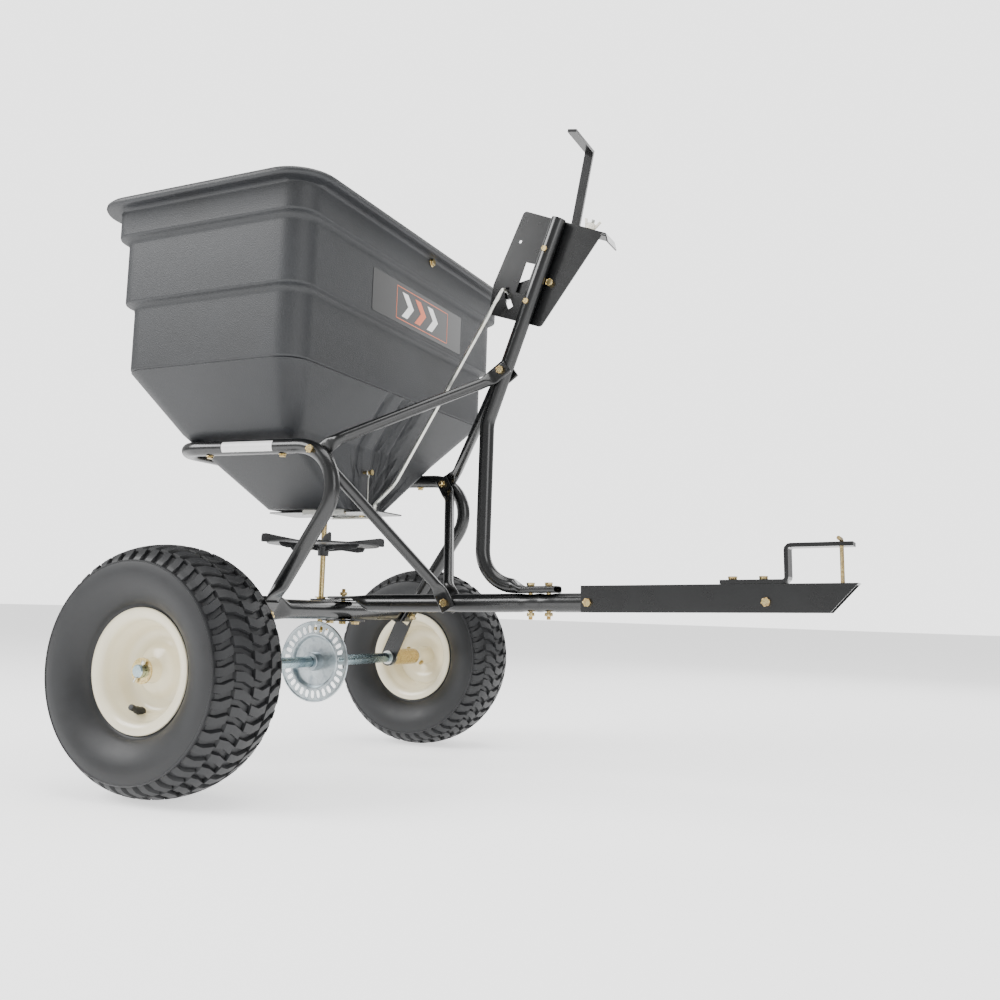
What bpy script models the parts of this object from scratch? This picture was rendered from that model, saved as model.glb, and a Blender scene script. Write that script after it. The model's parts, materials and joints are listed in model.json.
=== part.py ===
"""Tow-behind broadcast spreader: tapered hopper on a bent tube frame, two pneumatic wheels,
a ring gear on the axle that turns a spinner under the hopper, and a hand lever that opens a gate.

Metres, +X towards the hitch, +Y to the left of travel, +Z up. The origin is on the ground at the
middle of the machine's length and width. Pieces are worked out in a frame whose X is zero on the
axle, and one empty carries them all to the origin.
"""

import math

import bmesh
import bpy
from mathutils import Matrix, Vector

# ---------------------------------------------------------------- fits
GAP = 0.0003            # between pieces that touch
RUNNING = 0.0004        # radial clearance of a turning piece
BOLT_CLEARANCE = 0.0005  # radial clearance of a bolt in its hole
BORE_TURN = 0.17        # keeps a hole's facets off the edges of the tube that it crosses
STEEL_WALL = 0.0016     # wall of the frame tubes
FLAT_HALF = 0.0026      # half thickness of a pressed tube end

# ---------------------------------------------------------------- wheels and axle
TYRE_R = 0.188
TYRE_HALF_WIDTH = 0.0785
TYRE_CARCASS = 0.0075
TRACK = 0.786
RIM_FLANGE_R = 0.093
RIM_BEAD_R = 0.0775
RIM_HALF_WIDTH = 0.052
RIM_WALL = 0.003
HUB_R = 0.018
HUB_OUTER = 0.041
HUB_INNER = 0.045
AXLE_R = 0.010
AXLE_END_SPARE = 0.012
AXLE_Z = TYRE_R
BRACKET_WIDTH = 0.032
WASHER = 0.0025
WASHER_R = 0.0195
WHEEL_SEGMENTS = 28

# ---------------------------------------------------------------- ring gear, pinion, drive shaft
GEAR_SLOTS = 30
PINION_TEETH = 6
GEAR_SLOT_R = 0.060
GEAR_SLOT_LENGTH = 0.014
GEAR_SLOT_WIDTH = 0.0078
GEAR_R = 0.074
GEAR_THICKNESS = 0.002
GEAR_DISH = 0.007
GEAR_HUB_R = 0.017
GEAR_HUB_LENGTH = 0.030
PINION_THICKNESS = 0.006
PINION_ADDENDUM = 0.0032
PINION_TIP_WIDTH = 0.0026
PINION_ROOT_WIDTH = 0.0056
PINION_HUB_R = 0.0078
SHAFT_R = 0.005
SHAFT_TOP_IN_HOPPER = 0.062
SHAFT_BUSH_R = SHAFT_R + RUNNING + 0.0030

# ---------------------------------------------------------------- spinner
SPINNER_Z = 0.404
SPINNER_R = 0.104
SPINNER_PLATE = 0.0025
SPINNER_HUB_R = 0.0105
SPINNER_HUB_DROP = 0.021
VANE_COUNT = 4
VANE_REACH = 0.115
VANE_HEIGHT = 0.017
VANE_THICKNESS = 0.0025

# ---------------------------------------------------------------- hopper
HOPPER_WALL = 0.005
HOPPER_BASE_Z = 0.465
HOPPER_BASE_REAR = -0.085
HOPPER_BASE_FRONT = 0.085
HOPPER_BASE_HALF_WIDTH = 0.070
HOPPER_KNEE_Z = 0.580
HOPPER_KNEE_REAR = -0.152
HOPPER_KNEE_FRONT = 0.101
HOPPER_KNEE_HALF_WIDTH = 0.2405
BAND_Z = (0.6748, 0.7895, 0.902)
BAND_STEP = 0.011
HOPPER_REAR = -0.221
HOPPER_FRONT = 0.185
HOPPER_HALF_WIDTH = 0.354
HOPPER_TOP_Z = 0.962
RIM_OVERHANG = 0.0255
RIM_DEPTH = 0.014
CORNER_BASE_R = 0.014
CORNER_KNEE_R = 0.030
CORNER_TOP_R = 0.042
PORT_LENGTH = 0.024
PORT_WIDTH = 0.028
PORT_OFFSET_Y = 0.030

# ---------------------------------------------------------------- frame tubes
LOOP_R = 0.0127
LOOP_Y = 0.229
LOOP_SIDE_Z = 0.552
LOOP_SIDE_RISE = 0.018
LOOP_REAR_X = -0.158
LOOP_KNEE_BEND = 0.070
LOOP_REAR_BEND = 0.050
LEG_LEAN = math.radians(33.4)
CROSS_X = 0.050
CROSS_Z = 0.2833
CROSS_R = 0.0165
CROSS_FLAT_HALF = 0.004
CLAMP_PLATE = 0.003
SHAFT_PLATE_REAR = -0.014
SHAFT_PLATE_FRONT = 0.072
SHAFT_PLATE_HALF_WIDTH = 0.020
CLAMP_REAR = 0.014
CLAMP_FRONT = 0.089
HITCH_R = 0.0159
TONGUE_Z = 0.2945
TONGUE_RISE = math.radians(1.5)
HITCH_REAR_S = 0.030
UPRIGHT_R = 0.0127
UPRIGHT_X = 0.3345
UPRIGHT_KINK_Z = 0.618
UPRIGHT_LEAN = math.radians(19.7)
UPRIGHT_TOP_Z = 0.972
UPRIGHT_FOOT_BEND = 0.062
UPRIGHT_KINK_BEND = 0.060
UPRIGHT_FOOT_S = 0.476
BRACE_R = 0.0095
UPPER_BRACE_Z = 0.7065
LOWER_BRACE_S = 0.2738

# ---------------------------------------------------------------- tongue and hitch
CHANNEL_REAR_S = 0.524
CHANNEL_FRONT_S = 0.953
CHANNEL_BEVEL = 0.041
CHANNEL_HEIGHT = 0.0435
CHANNEL_WALL = 0.003
HITCH_TUBE_FRONT_S = 0.845
HITCH_PLATE = 0.0063
HITCH_PLATE_HALF_WIDTH = 0.019
HITCH_FOOT_REAR_S = 0.751
HITCH_RISER_S = 0.851
HITCH_TOP_FRONT_S = 0.947
HITCH_CLEAR_HEIGHT = 0.054
HITCH_PIN_S = 0.929
HITCH_PIN_R = 0.0031
NUT_SEAT_DROP = 0.0040

# ---------------------------------------------------------------- flow control
FLOW_PLATE = 0.0025
FLOW_FLANGE_WIDTH = 0.046
FLOW_TOP_REAR = (0.389, 1.0027)
FLOW_TOP_FRONT = (0.538, 0.9424)
FLOW_FOOT_FRONT = (0.426, 0.786)
FLOW_FOOT_REAR = (0.3246, 0.8195)
FLOW_WAIST_REAR = (0.3315, 0.8728)
FLOW_BOLT_Z = (0.8265, 0.9165)
LEVER_PIVOT = (0.4428, 0.8632)
LEVER_OPEN_DEG = 2
LEVER_CLOSE_DEG = 18
SLOT_SPARE_DEG = 3.5
LEVER_PLATE = 0.005
LEVER_WIDTH = 0.016
LEVER_FLANGE_X = 0.4843
LEVER_TOP = (0.508, 1.098)
LEVER_HANDLE = 0.088
ROD_R = 0.0035
ROD_HOOK = (0.359, 0.857)
ROD_KINK = (0.169, 0.5115)
ROD_Y = -0.004
GATE_TAB_X = 0.128
GATE_TAB_Y = -0.030
GATE_FRONT = 0.145
GATE_REAR = -0.100
GATE_HALF_WIDTH = 0.046
GATE_PLATE = 0.002
GATE_REST_OFFSET = 0.0035
GATE_TRAVEL_BACK = 0.037
GUIDE_PLATE = 0.0016
GUIDE_DEPTH = 0.0085
STOP_X = 0.5105
STOP_SLOT_LENGTH = 0.150

# ---------------------------------------------------------------- fasteners
M10 = 0.0048
M8 = 0.0038
M6 = 0.0030

REAR_END = HOPPER_REAR - RIM_OVERHANG
FRONT_END = CHANNEL_FRONT_S * math.cos(TONGUE_RISE) - (
    CHANNEL_HEIGHT - HITCH_R) * math.sin(TONGUE_RISE)
MACHINE_CENTRE_X = (REAR_END + FRONT_END) / 2

NEAR, FAR = -1, 1
SIDES = (("near", NEAR), ("far", FAR))
LEG_DIR = Vector((math.sin(LEG_LEAN), 0, math.cos(LEG_LEAN)))
LEG_OUT = Vector((math.cos(LEG_LEAN), 0, -math.sin(LEG_LEAN)))


# ================================================================ scene and materials
def clear_scene():
    for item in list(bpy.data.objects):
        bpy.data.objects.remove(item, do_unlink=True)


def linear(hex_code):
    def channel(pair):
        value = int(pair, 16) / 255
        return value / 12.92 if value <= 0.04045 else ((value + 0.055) / 1.055) ** 2.4
    return [channel(hex_code[i:i + 2]) for i in (0, 2, 4)] + [1.0]


def material(name, hex_code, roughness, metallic=0.0):
    found = bpy.data.materials.get(name)
    if found:
        return found
    made = bpy.data.materials.new(name)
    made.use_nodes = True
    shader = made.node_tree.nodes["Principled BSDF"]
    shader.inputs["Base Color"].default_value = linear(hex_code)
    shader.inputs["Roughness"].default_value = roughness
    shader.inputs["Metallic"].default_value = metallic
    return made


FINISHES = {
    "black_paint": ("26292c", 0.28, 0.0),
    "black_poly": ("37393c", 0.55, 0.0),
    "rubber": ("2c2c2e", 0.75, 0.0),
    "cream_paint": ("e8e0c4", 0.35, 0.0),
    "bright_zinc": ("c3c7c9", 0.30, 1.0),
    "yellow_zinc": ("c9a866", 0.35, 1.0),
    "axle_steel": ("8fa3a8", 0.30, 1.0),
    "black_nylon": ("2b2c2e", 0.50, 0.0),
    "white_nylon": ("e6e3d8", 0.45, 0.0),
}


def finish(name):
    return material(name, *FINISHES[name])


# ================================================================ mesh helpers
def node(name, bm, finish_name, parent=None, sharp_deg=35):
    bmesh.ops.recalc_face_normals(bm, faces=bm.faces)
    mesh = bpy.data.meshes.new(name)
    bm.to_mesh(mesh)
    bm.free()
    mesh.shade_smooth()
    mesh.set_sharp_from_angle(angle=math.radians(sharp_deg))
    mesh.materials.append(finish(finish_name))
    made = bpy.data.objects.new(name, mesh)
    bpy.context.collection.objects.link(made)
    made.parent = parent
    return made


def cutter(target, bm):
    bmesh.ops.recalc_face_normals(bm, faces=bm.faces)
    mesh = bpy.data.meshes.new(target.name + "_cut")
    bm.to_mesh(mesh)
    bm.free()
    tool = bpy.data.objects.new(target.name + "_cut", mesh)
    bpy.context.collection.objects.link(tool)
    tool.parent = target.parent
    tool.hide_render = True
    tool.display_type = "WIRE"
    cut = target.modifiers.new("cut", "BOOLEAN")
    cut.operation = "DIFFERENCE"
    cut.solver = "EXACT"
    cut.object = tool
    return tool


def bridge(bm, lower, upper):
    count = len(lower)
    for i in range(count):
        j = (i + 1) % count
        bm.faces.new((lower[i], lower[j], upper[j], upper[i]))


def loft(rings, closed=False, caps=True):
    """A skin over rings with equal counts; caps fill the first and last."""
    bm = bmesh.new()
    made = [[bm.verts.new(p) for p in ring] for ring in rings]
    for lower, upper in zip(made, made[1:]):
        bridge(bm, lower, upper)
    if closed:
        bridge(bm, made[-1], made[0])
    elif caps:
        bm.faces.new(list(reversed(made[0])))
        bm.faces.new(made[-1])
    return bm


def circle(radius, count, phase=0.0):
    step = math.tau / count
    return [(radius * math.cos(i * step + phase), radius * math.sin(i * step + phase))
            for i in range(count)]


def frame_along(direction, hint=Vector((0, 1, 0))):
    """Two unit vectors square to direction, the second as near to hint as it can be."""
    direction = direction.normalized()
    side = hint - direction * hint.dot(direction)
    if side.length < 1e-6:
        side = Vector((1, 0, 0)) - direction * direction.x
    side.normalize()
    return side.cross(direction).normalized(), side


def place(outline, centre, direction, hint=Vector((0, 1, 0))):
    across, side = frame_along(direction, hint)
    return [centre + across * u + side * v for u, v in outline]


def turned(profile, segments, axis, centre=Vector((0, 0, 0))):
    """A closed (radius, along) outline spun about an axis through centre."""
    axis = Vector(axis).normalized()
    across, side = frame_along(axis, Vector((0, 0, 1)))
    bm = bmesh.new()
    columns = []
    for k in range(segments):
        turn = math.tau * k / segments
        out = side * math.cos(turn) + across * math.sin(turn)
        columns.append([bm.verts.new(centre + out * r + axis * w) for r, w in profile])
    for k in range(segments):
        bridge(bm, columns[k], columns[(k + 1) % segments])
    return bm


def rod_mesh(stations, count, phase=0.0):
    """A solid of revolution from (centre, direction, radius) stations."""
    rings = [place(circle(r, count, phase), c, d) for c, d, r in stations]
    return loft(rings)


def prism(outline, low, high, plane="xz"):
    """A flat outline given thickness: xz outlines run along Y, xy ones along Z."""
    def point(u, v, w):
        return Vector((u, w, v)) if plane == "xz" else Vector((u, v, w))
    return loft([[point(u, v, low) for u, v in outline], [point(u, v, high) for u, v in outline]])


def box_mesh(low, high):
    return prism([(low[0], low[1]), (high[0], low[1]), (high[0], high[1]), (low[0], high[1])],
                 low[2], high[2], "xy")


def rounded(corners, radius, steps=3):
    """An outline with each corner turned into an arc."""
    count = len(corners)
    points = []
    for i, corner in enumerate(corners):
        here = Vector(corner)
        before = (Vector(corners[i - 1]) - here)
        after = (Vector(corners[(i + 1) % count]) - here)
        half = before.angle(after) / 2
        reach = min(radius / math.tan(half), before.length * 0.48, after.length * 0.48)
        start, end = here + before.normalized() * reach, here + after.normalized() * reach
        bulge = reach * math.tan(half)
        middle = here + (before.normalized() + after.normalized()).normalized() * (
            bulge / math.sin(half))
        first, last = start - middle, end - middle
        for k in range(steps + 1):
            mixed = first.lerp(last, k / steps)
            points.append(tuple(middle + mixed.normalized() * bulge))
    return points


def bore(target, start, end, radius, count=12):
    """A hole through target whose flats stand at radius from its axis."""
    start, end = Vector(start), Vector(end)
    along = end - start
    radius = radius / math.cos(math.pi / count)
    return cutter(target, rod_mesh([(start, along, radius), (end, along, radius)], count, BORE_TURN))


# ================================================================ tubes
def bent_path(points, bends, arc_steps=6):
    """A polyline whose corners are arcs of the given radii; returns centres."""
    path = [Vector(points[0])]
    for before, here, after, radius in zip(points, points[1:], points[2:], bends):
        before, here, after = Vector(before), Vector(here), Vector(after)
        back, on = (before - here).normalized(), (after - here).normalized()
        half = back.angle(on) / 2
        reach = radius / math.tan(half)
        middle = here + (back + on).normalized() * (radius / math.sin(half))
        first = here + back * reach - middle
        last = here + on * reach - middle
        turn = math.pi - 2 * half
        for k in range(arc_steps + 1):
            share = k / arc_steps
            mixed = (first * math.sin((1 - share) * turn) + last * math.sin(share * turn))
            path.append(middle + mixed / math.sin(turn))
    path.append(Vector(points[-1]))
    return path


def tube_ring(centre, across, side, half_across, half_side, squareness, count):
    ring = []
    for i in range(count):
        turn = math.tau * (i + 0.5) / count
        c, s = math.cos(turn), math.sin(turn)
        u = math.copysign(abs(c) ** squareness, c) * half_across
        v = math.copysign(abs(s) ** squareness, s) * half_side
        ring.append(centre + across * u + side * v)
    return ring


def tube(path, radius, first_side, press_start=0.0, press_end=0.0, flat_half=FLAT_HALF,
         fade=0.022, shift_start=0.0, shift_end=0.0, wall=STEEL_WALL, count=12):
    """A tube along path. Its ends may be pressed flat over a length, across first_side."""
    lengths = [0.0]
    for a, b in zip(path, path[1:]):
        lengths.append(lengths[-1] + (b - a).length)
    total = lengths[-1]
    stops = set(round(s, 6) for s in lengths)
    for pressed, sign in ((press_start, 1), (press_end, -1)):
        if pressed:
            origin = 0.0 if sign > 0 else total
            stops.update(round(origin + sign * s, 6) for s in (pressed, pressed + fade / 2, pressed + fade))
    stops = sorted(stops)

    def at(distance):
        for i in range(len(lengths) - 1):
            if distance <= lengths[i + 1] + 1e-9:
                share = (distance - lengths[i]) / max(lengths[i + 1] - lengths[i], 1e-9)
                return path[i].lerp(path[i + 1], min(max(share, 0), 1))
        return path[-1]

    def pressing(distance):
        for pressed, travelled, shift in ((press_start, distance, shift_start),
                                          (press_end, total - distance, shift_end)):
            if pressed and travelled < pressed + fade - 1e-6:
                share = min(max((travelled - pressed) / fade, 0.0), 1.0)
                return 1 - share * share * (3 - 2 * share), shift
        return 0.0, 0.0

    centres = [at(s) for s in stops]
    tangents = []
    for i in range(len(centres)):
        ahead = centres[min(i + 1, len(centres) - 1)] - centres[i]
        behind = centres[i] - centres[max(i - 1, 0)]
        joined = (ahead.normalized() if ahead.length > 1e-9 else Vector()) + (
            behind.normalized() if behind.length > 1e-9 else Vector())
        tangents.append(joined.normalized())
    side = Vector(first_side)
    outer, inner = [], []
    half_flat_width = math.pi * radius / 2 * 0.92
    for s, centre, tangent in zip(stops, centres, tangents):
        side = (side - tangent * side.dot(tangent)).normalized()
        across = side.cross(tangent).normalized()
        flat, shift = pressing(s)
        half_side = radius + (flat_half - radius) * flat
        half_across = radius + (half_flat_width - radius) * flat
        squareness = 1 - 0.45 * flat
        at_centre = centre + side * shift * flat
        outer.append(tube_ring(at_centre, across, side, half_across, half_side, squareness, count))
        inner.append(tube_ring(at_centre, across, side, half_across - wall,
                               max(half_side - wall, 0.0003), squareness, count))
    return loft(outer + list(reversed(inner)), closed=True)


def on_tongue(s, y=0.0, h=0.0):
    """A point s along the tongue from the axle line, y across and h above its centre line."""
    return Vector((s * math.cos(TONGUE_RISE) - h * math.sin(TONGUE_RISE), y,
                   TONGUE_Z + s * math.sin(TONGUE_RISE) + h * math.cos(TONGUE_RISE)))


TONGUE_ALONG = Vector((math.cos(TONGUE_RISE), 0, math.sin(TONGUE_RISE)))
TONGUE_UP = Vector((-math.sin(TONGUE_RISE), 0, math.cos(TONGUE_RISE)))


# ================================================================ fasteners
def bolt(name, head_at, nut_at, radius, parent, spare=0.006, finish_name="yellow_zinc"):
    """A hexagon bolt with its nut: head_at and nut_at are the faces that they clamp."""
    head_at, nut_at = Vector(head_at), Vector(nut_at)
    along = (nut_at - head_at).normalized()
    hexagon, head, nut = radius * 1.9, radius * 1.3, radius * 1.6
    outline = (
        (-head, hexagon * 0.86), (-head * 0.82, hexagon), (-GAP, hexagon), (-GAP, radius))
    stations = [(head_at + along * w, along, r) for w, r in outline]
    stations += [(nut_at + along * w, along, r) for w, r in (
        (GAP, radius), (GAP, hexagon), (GAP + nut, hexagon),
        (GAP + nut, radius * 0.9), (GAP + nut + spare, radius * 0.9))]
    return node(name, rod_mesh(stations, 6), finish_name, parent, 20)


def bolted(name, head_at, nut_at, radius, parent, through, spare=0.006):
    """A bolt and the holes that it needs in the pieces that it holds."""
    head_at, nut_at = Vector(head_at), Vector(nut_at)
    along = (nut_at - head_at).normalized()
    for piece in through:
        bore(piece, head_at - along * 0.02, nut_at + along * 0.02, radius + BOLT_CLEARANCE)
    return bolt(name, head_at, nut_at, radius, parent, spare)


# ================================================================ hopper
def rectangle(rear, front, half_width, corner, z, inset=0.0):
    rear, front, half_width = rear + inset, front - inset, half_width - inset
    corner = max(corner - inset, 0.004)
    outline = rounded([(rear, -half_width), (front, -half_width),
                       (front, half_width), (rear, half_width)], corner, 4)
    return [Vector((x, y, z)) for x, y in outline]


def hopper_levels():
    """(z, rear, front, half width, corner radius) of the outer skin from the base up."""
    levels = [(HOPPER_BASE_Z, HOPPER_BASE_REAR, HOPPER_BASE_FRONT, HOPPER_BASE_HALF_WIDTH,
               CORNER_BASE_R),
              (HOPPER_KNEE_Z, HOPPER_KNEE_REAR, HOPPER_KNEE_FRONT, HOPPER_KNEE_HALF_WIDTH,
               CORNER_KNEE_R)]
    bands = len(BAND_Z)
    for i, low in enumerate(BAND_Z):
        shrink = BAND_STEP * (bands - 1 - i)
        high = BAND_Z[i + 1] if i + 1 < bands else HOPPER_TOP_Z - RIM_DEPTH
        for z in (low, high - (BAND_STEP / 2 if i + 1 < bands else 0)):
            levels.append((z, HOPPER_REAR + shrink, HOPPER_FRONT - shrink,
                           HOPPER_HALF_WIDTH - shrink, CORNER_TOP_R))
    return levels


def make_hopper(parent):
    levels = hopper_levels()
    outer = [rectangle(r, f, w, c, z) for z, r, f, w, c in levels]
    rim_corner = CORNER_TOP_R + RIM_OVERHANG
    for z, out in ((HOPPER_TOP_Z - RIM_DEPTH, RIM_OVERHANG), (HOPPER_TOP_Z - 0.004, RIM_OVERHANG),
                   (HOPPER_TOP_Z, RIM_OVERHANG - 0.004)):
        outer.append(rectangle(HOPPER_REAR - out, HOPPER_FRONT + out, HOPPER_HALF_WIDTH + out,
                               rim_corner, z))
    inner = [rectangle(HOPPER_REAR, HOPPER_FRONT, HOPPER_HALF_WIDTH, CORNER_TOP_R, HOPPER_TOP_Z,
                       HOPPER_WALL)]
    for z, r, f, w, c in reversed(levels[2:]):
        inner.append(rectangle(r, f, w, c, z + (0.0 if z > BAND_Z[0] else HOPPER_WALL / 2),
                               HOPPER_WALL))
    z, r, f, w, c = levels[1]
    inner.append(rectangle(r, f, w, c, z + HOPPER_WALL / 2, HOPPER_WALL * 1.3))
    z, r, f, w, c = levels[0]
    inner.append(rectangle(r, f, w, c, z + HOPPER_WALL, HOPPER_WALL * 1.3))
    hopper = node("hopper", loft(outer + inner), "black_poly", parent)
    cut_ports(hopper, 0.0, HOPPER_BASE_Z - 0.01, HOPPER_BASE_Z + HOPPER_WALL + 0.01)
    bore(hopper, (0, 0, HOPPER_BASE_Z - 0.01), (0, 0, HOPPER_BASE_Z + 0.02),
         SHAFT_BUSH_R + GAP)
    return hopper


def cut_ports(target, shift_x, low, high):
    """The two outlets beside the drive shaft, which the gate covers."""
    for side in (NEAR, FAR):
        y = side * PORT_OFFSET_Y
        cutter(target, box_mesh((shift_x - PORT_LENGTH / 2, y - PORT_WIDTH / 2, low),
                                (shift_x + PORT_LENGTH / 2, y + PORT_WIDTH / 2, high)))


GUIDE_TOP = HOPPER_BASE_Z - GAP
GATE_TOP = GUIDE_TOP - GUIDE_PLATE - 0.001


def make_gate_guide(parent):
    """Zinc channel under the hopper whose turned-in lips carry the gate."""
    half = GATE_HALF_WIDTH + 0.0012
    out = half + GUIDE_PLATE
    lip = 0.008
    low = GUIDE_TOP - GUIDE_DEPTH
    t = GUIDE_PLATE
    outline = [(-out, GUIDE_TOP), (-out, low), (-half + lip, low), (-half + lip, low + t),
               (-half, low + t), (-half, GUIDE_TOP - t), (half, GUIDE_TOP - t), (half, low + t),
               (half - lip, low + t), (half - lip, low), (out, low), (out, GUIDE_TOP)]
    rear, front = -PORT_LENGTH / 2 - 0.004, HOPPER_BASE_FRONT - 0.010
    rings = [[Vector((x, y, z)) for y, z in outline] for x in (rear, front)]
    guide = node("gate_guide", loft(rings), "bright_zinc", parent)
    cut_ports(guide, 0.0, GUIDE_TOP - 0.004, GUIDE_TOP + 0.004)
    bore(guide, (0, 0, GUIDE_TOP - 0.02), (0, 0, GUIDE_TOP + 0.01), SHAFT_BUSH_R + GAP)
    return guide


def make_gate(parent):
    """Flat slide with two ports, a slot for the shaft and an ear for the control rod."""
    low = GATE_TOP - GATE_PLATE
    front, half = GATE_FRONT, GATE_HALF_WIDTH
    outline = rounded([(GATE_REAR, -half), (front, -half), (front, half), (GATE_REAR, half)],
                      0.012, 3)
    gate = node("gate_slide", prism(outline, low, GATE_TOP, "xy"), "black_paint", parent)
    cut_ports(gate, -GATE_REST_OFFSET, low - 0.004, GATE_TOP + 0.004)
    slot = SHAFT_BUSH_R + 0.002
    ahead = GATE_TRAVEL_BACK + slot
    behind = GATE_REST_OFFSET + slot
    outline = rounded([(-behind, -slot), (ahead, -slot), (ahead, slot), (-behind, slot)],
                      slot * 0.8, 2)
    cutter(gate, prism(outline, low - 0.004, GATE_TOP + 0.004, "xy"))
    bore(gate, (GATE_TAB_X, GATE_TAB_Y, low - 0.01), (GATE_TAB_X, GATE_TAB_Y, GATE_TOP + 0.01),
         ROD_R + 0.0035)
    return gate


# ================================================================ frame
def leg_point(side, along, out=0.0):
    """A point on a leg: along it from the cross tube's bolt, out from its centre line."""
    base = Vector((CROSS_X, 0, CROSS_Z)) + LEG_OUT * (CROSS_FLAT_HALF + FLAT_HALF + GAP)
    return base + LEG_DIR * along + LEG_OUT * out + Vector((0, side * LOOP_Y, 0))


def loop_side_z(x):
    return LOOP_SIDE_Z - LOOP_SIDE_RISE * x


def loop_knee(side):
    """Where a leg's line meets the side run's line."""
    foot = leg_point(side, 0.0)
    slope = LEG_DIR.z / LEG_DIR.x
    x = (LOOP_SIDE_Z - foot.z + slope * foot.x) / (slope + LOOP_SIDE_RISE)
    return Vector((x, side * LOOP_Y, loop_side_z(x)))


def make_loop(parent):
    corners = [leg_point(NEAR, -0.018), loop_knee(NEAR),
               Vector((LOOP_REAR_X, NEAR * LOOP_Y, loop_side_z(LOOP_REAR_X))),
               Vector((LOOP_REAR_X, FAR * LOOP_Y, loop_side_z(LOOP_REAR_X))),
               loop_knee(FAR), leg_point(FAR, -0.018)]
    path = bent_path(corners, [LOOP_KNEE_BEND, LOOP_REAR_BEND, LOOP_REAR_BEND, LOOP_KNEE_BEND], 5)
    return node("hopper_loop_tube",
                tube(path, LOOP_R, LEG_OUT, press_start=0.042, press_end=0.042, fade=0.03),
                "black_paint", parent, 50)


def brace_anchor(side):
    """Centre of the loop tube at the brace bolt, on the knee's bend."""
    knee = loop_knee(side)
    back = Vector((-1, 0, LOOP_SIDE_RISE)).normalized()
    down = -LEG_DIR
    half = back.angle(down) / 2
    middle = knee + (back + down).normalized() * (LOOP_KNEE_BEND / math.sin(half))
    return middle + Vector((0.4742, 0, 0.8804)).normalized() * LOOP_KNEE_BEND


def make_cross_tube(parent):
    reach = LOOP_Y + 0.017
    path = [Vector((CROSS_X, y, CROSS_Z)) for y in (-reach, 0.0, reach)]
    return node("cross_tube",
                tube(path, CROSS_R, LEG_OUT, press_start=0.040, press_end=0.040,
                     flat_half=CROSS_FLAT_HALF, fade=0.034, count=14),
                "black_paint", parent, 50)


def make_axle_bracket(name, side, parent):
    """Angle piece bolted over a leg's end; its side plate carries the axle bush."""
    thick = 0.003
    face = FLAT_HALF + GAP
    outer_y = side * (LOOP_Y + 0.0195)
    inner_y = side * (LOOP_Y - 0.013)
    side_y = outer_y - side * thick
    upper = 0.020
    ear = upper - 0.036
    hub = Vector((0, 0, AXLE_Z)) - leg_point(side, 0.0)
    hub_along, hub_out = hub.dot(LEG_DIR), hub.dot(LEG_OUT)
    reach = BRACKET_WIDTH / 2 + 0.0015
    below = ear - 0.012

    def at(along, out, y):
        point = leg_point(side, along, out)
        return Vector((point.x, y, point.z))

    plate = [(upper, face + thick), (upper, face)]
    plate += [(below, face), (below - 0.001, face + thick - BRACKET_WIDTH)]
    for k in range(7):
        turn = math.radians(30 * k)
        plate.append((hub_along - reach * math.sin(turn), hub_out - reach * math.cos(turn)))
    plate += [(below, face + thick + 0.003), (ear, face + thick)]
    rings = [[at(a, o, y) for a, o in plate] for y in (side_y, outer_y)]
    bm = loft(rings)
    flange = [(upper, face), (upper, face + thick), (ear, face + thick), (ear, face)]
    bracket = node(name, bm, "black_paint", parent)
    rings = [[at(a, o, y) for a, o in flange] for y in (inner_y, side_y + side * thick / 2)]
    join(bracket, loft(rings))
    return bracket


def join(target, bm):
    """Boolean union of another closed mesh into target."""
    tool = cutter(target, bm)
    target.modifiers[-1].operation = "UNION"
    return tool


def make_shaft_plate(parent):
    """Plate on the cross tube that reaches back to the drive shaft's lower bush."""
    low = CROSS_Z + CROSS_R + GAP
    outline = rounded([(SHAFT_PLATE_REAR, -SHAFT_PLATE_HALF_WIDTH),
                       (SHAFT_PLATE_FRONT, -SHAFT_PLATE_HALF_WIDTH),
                       (SHAFT_PLATE_FRONT, SHAFT_PLATE_HALF_WIDTH),
                       (SHAFT_PLATE_REAR, SHAFT_PLATE_HALF_WIDTH)], 0.008, 2)
    plate = node("shaft_plate", prism(outline, low, low + CLAMP_PLATE, "xy"), "black_paint", parent)
    bore(plate, (0, 0, low - 0.01), (0, 0, low + 0.01), SHAFT_BUSH_R + GAP)
    return plate


def make_clamp_plate(parent):
    """Plate under the cross tube that draws it up against the shaft plate."""
    top = CROSS_Z - CROSS_R - GAP
    outline = rounded([(CLAMP_REAR, -SHAFT_PLATE_HALF_WIDTH), (CLAMP_FRONT, -SHAFT_PLATE_HALF_WIDTH),
                       (CLAMP_FRONT, SHAFT_PLATE_HALF_WIDTH), (CLAMP_REAR, SHAFT_PLATE_HALF_WIDTH)],
                      0.006, 2)
    return node("clamp_plate", prism(outline, top - CLAMP_PLATE, top, "xy"), "black_paint", parent)


def make_hitch_tube(parent):
    path = [on_tongue(s) for s in (HITCH_REAR_S, 0.20, 0.40, HITCH_TUBE_FRONT_S)]
    rise = CROSS_Z + CROSS_R + GAP + CLAMP_PLATE + GAP + FLAT_HALF - on_tongue(HITCH_REAR_S).z
    return node("hitch_tube",
                tube(path, HITCH_R, TONGUE_UP, press_start=0.046, fade=0.036, shift_start=rise,
                     count=14),
                "black_paint", parent, 50)


def upright_at(z):
    """X of the upright's centre line on its leaning part."""
    return UPRIGHT_X + (z - UPRIGHT_KINK_Z) * math.tan(UPRIGHT_LEAN)


UPRIGHT_FOOT_HALF = 0.006


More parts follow.
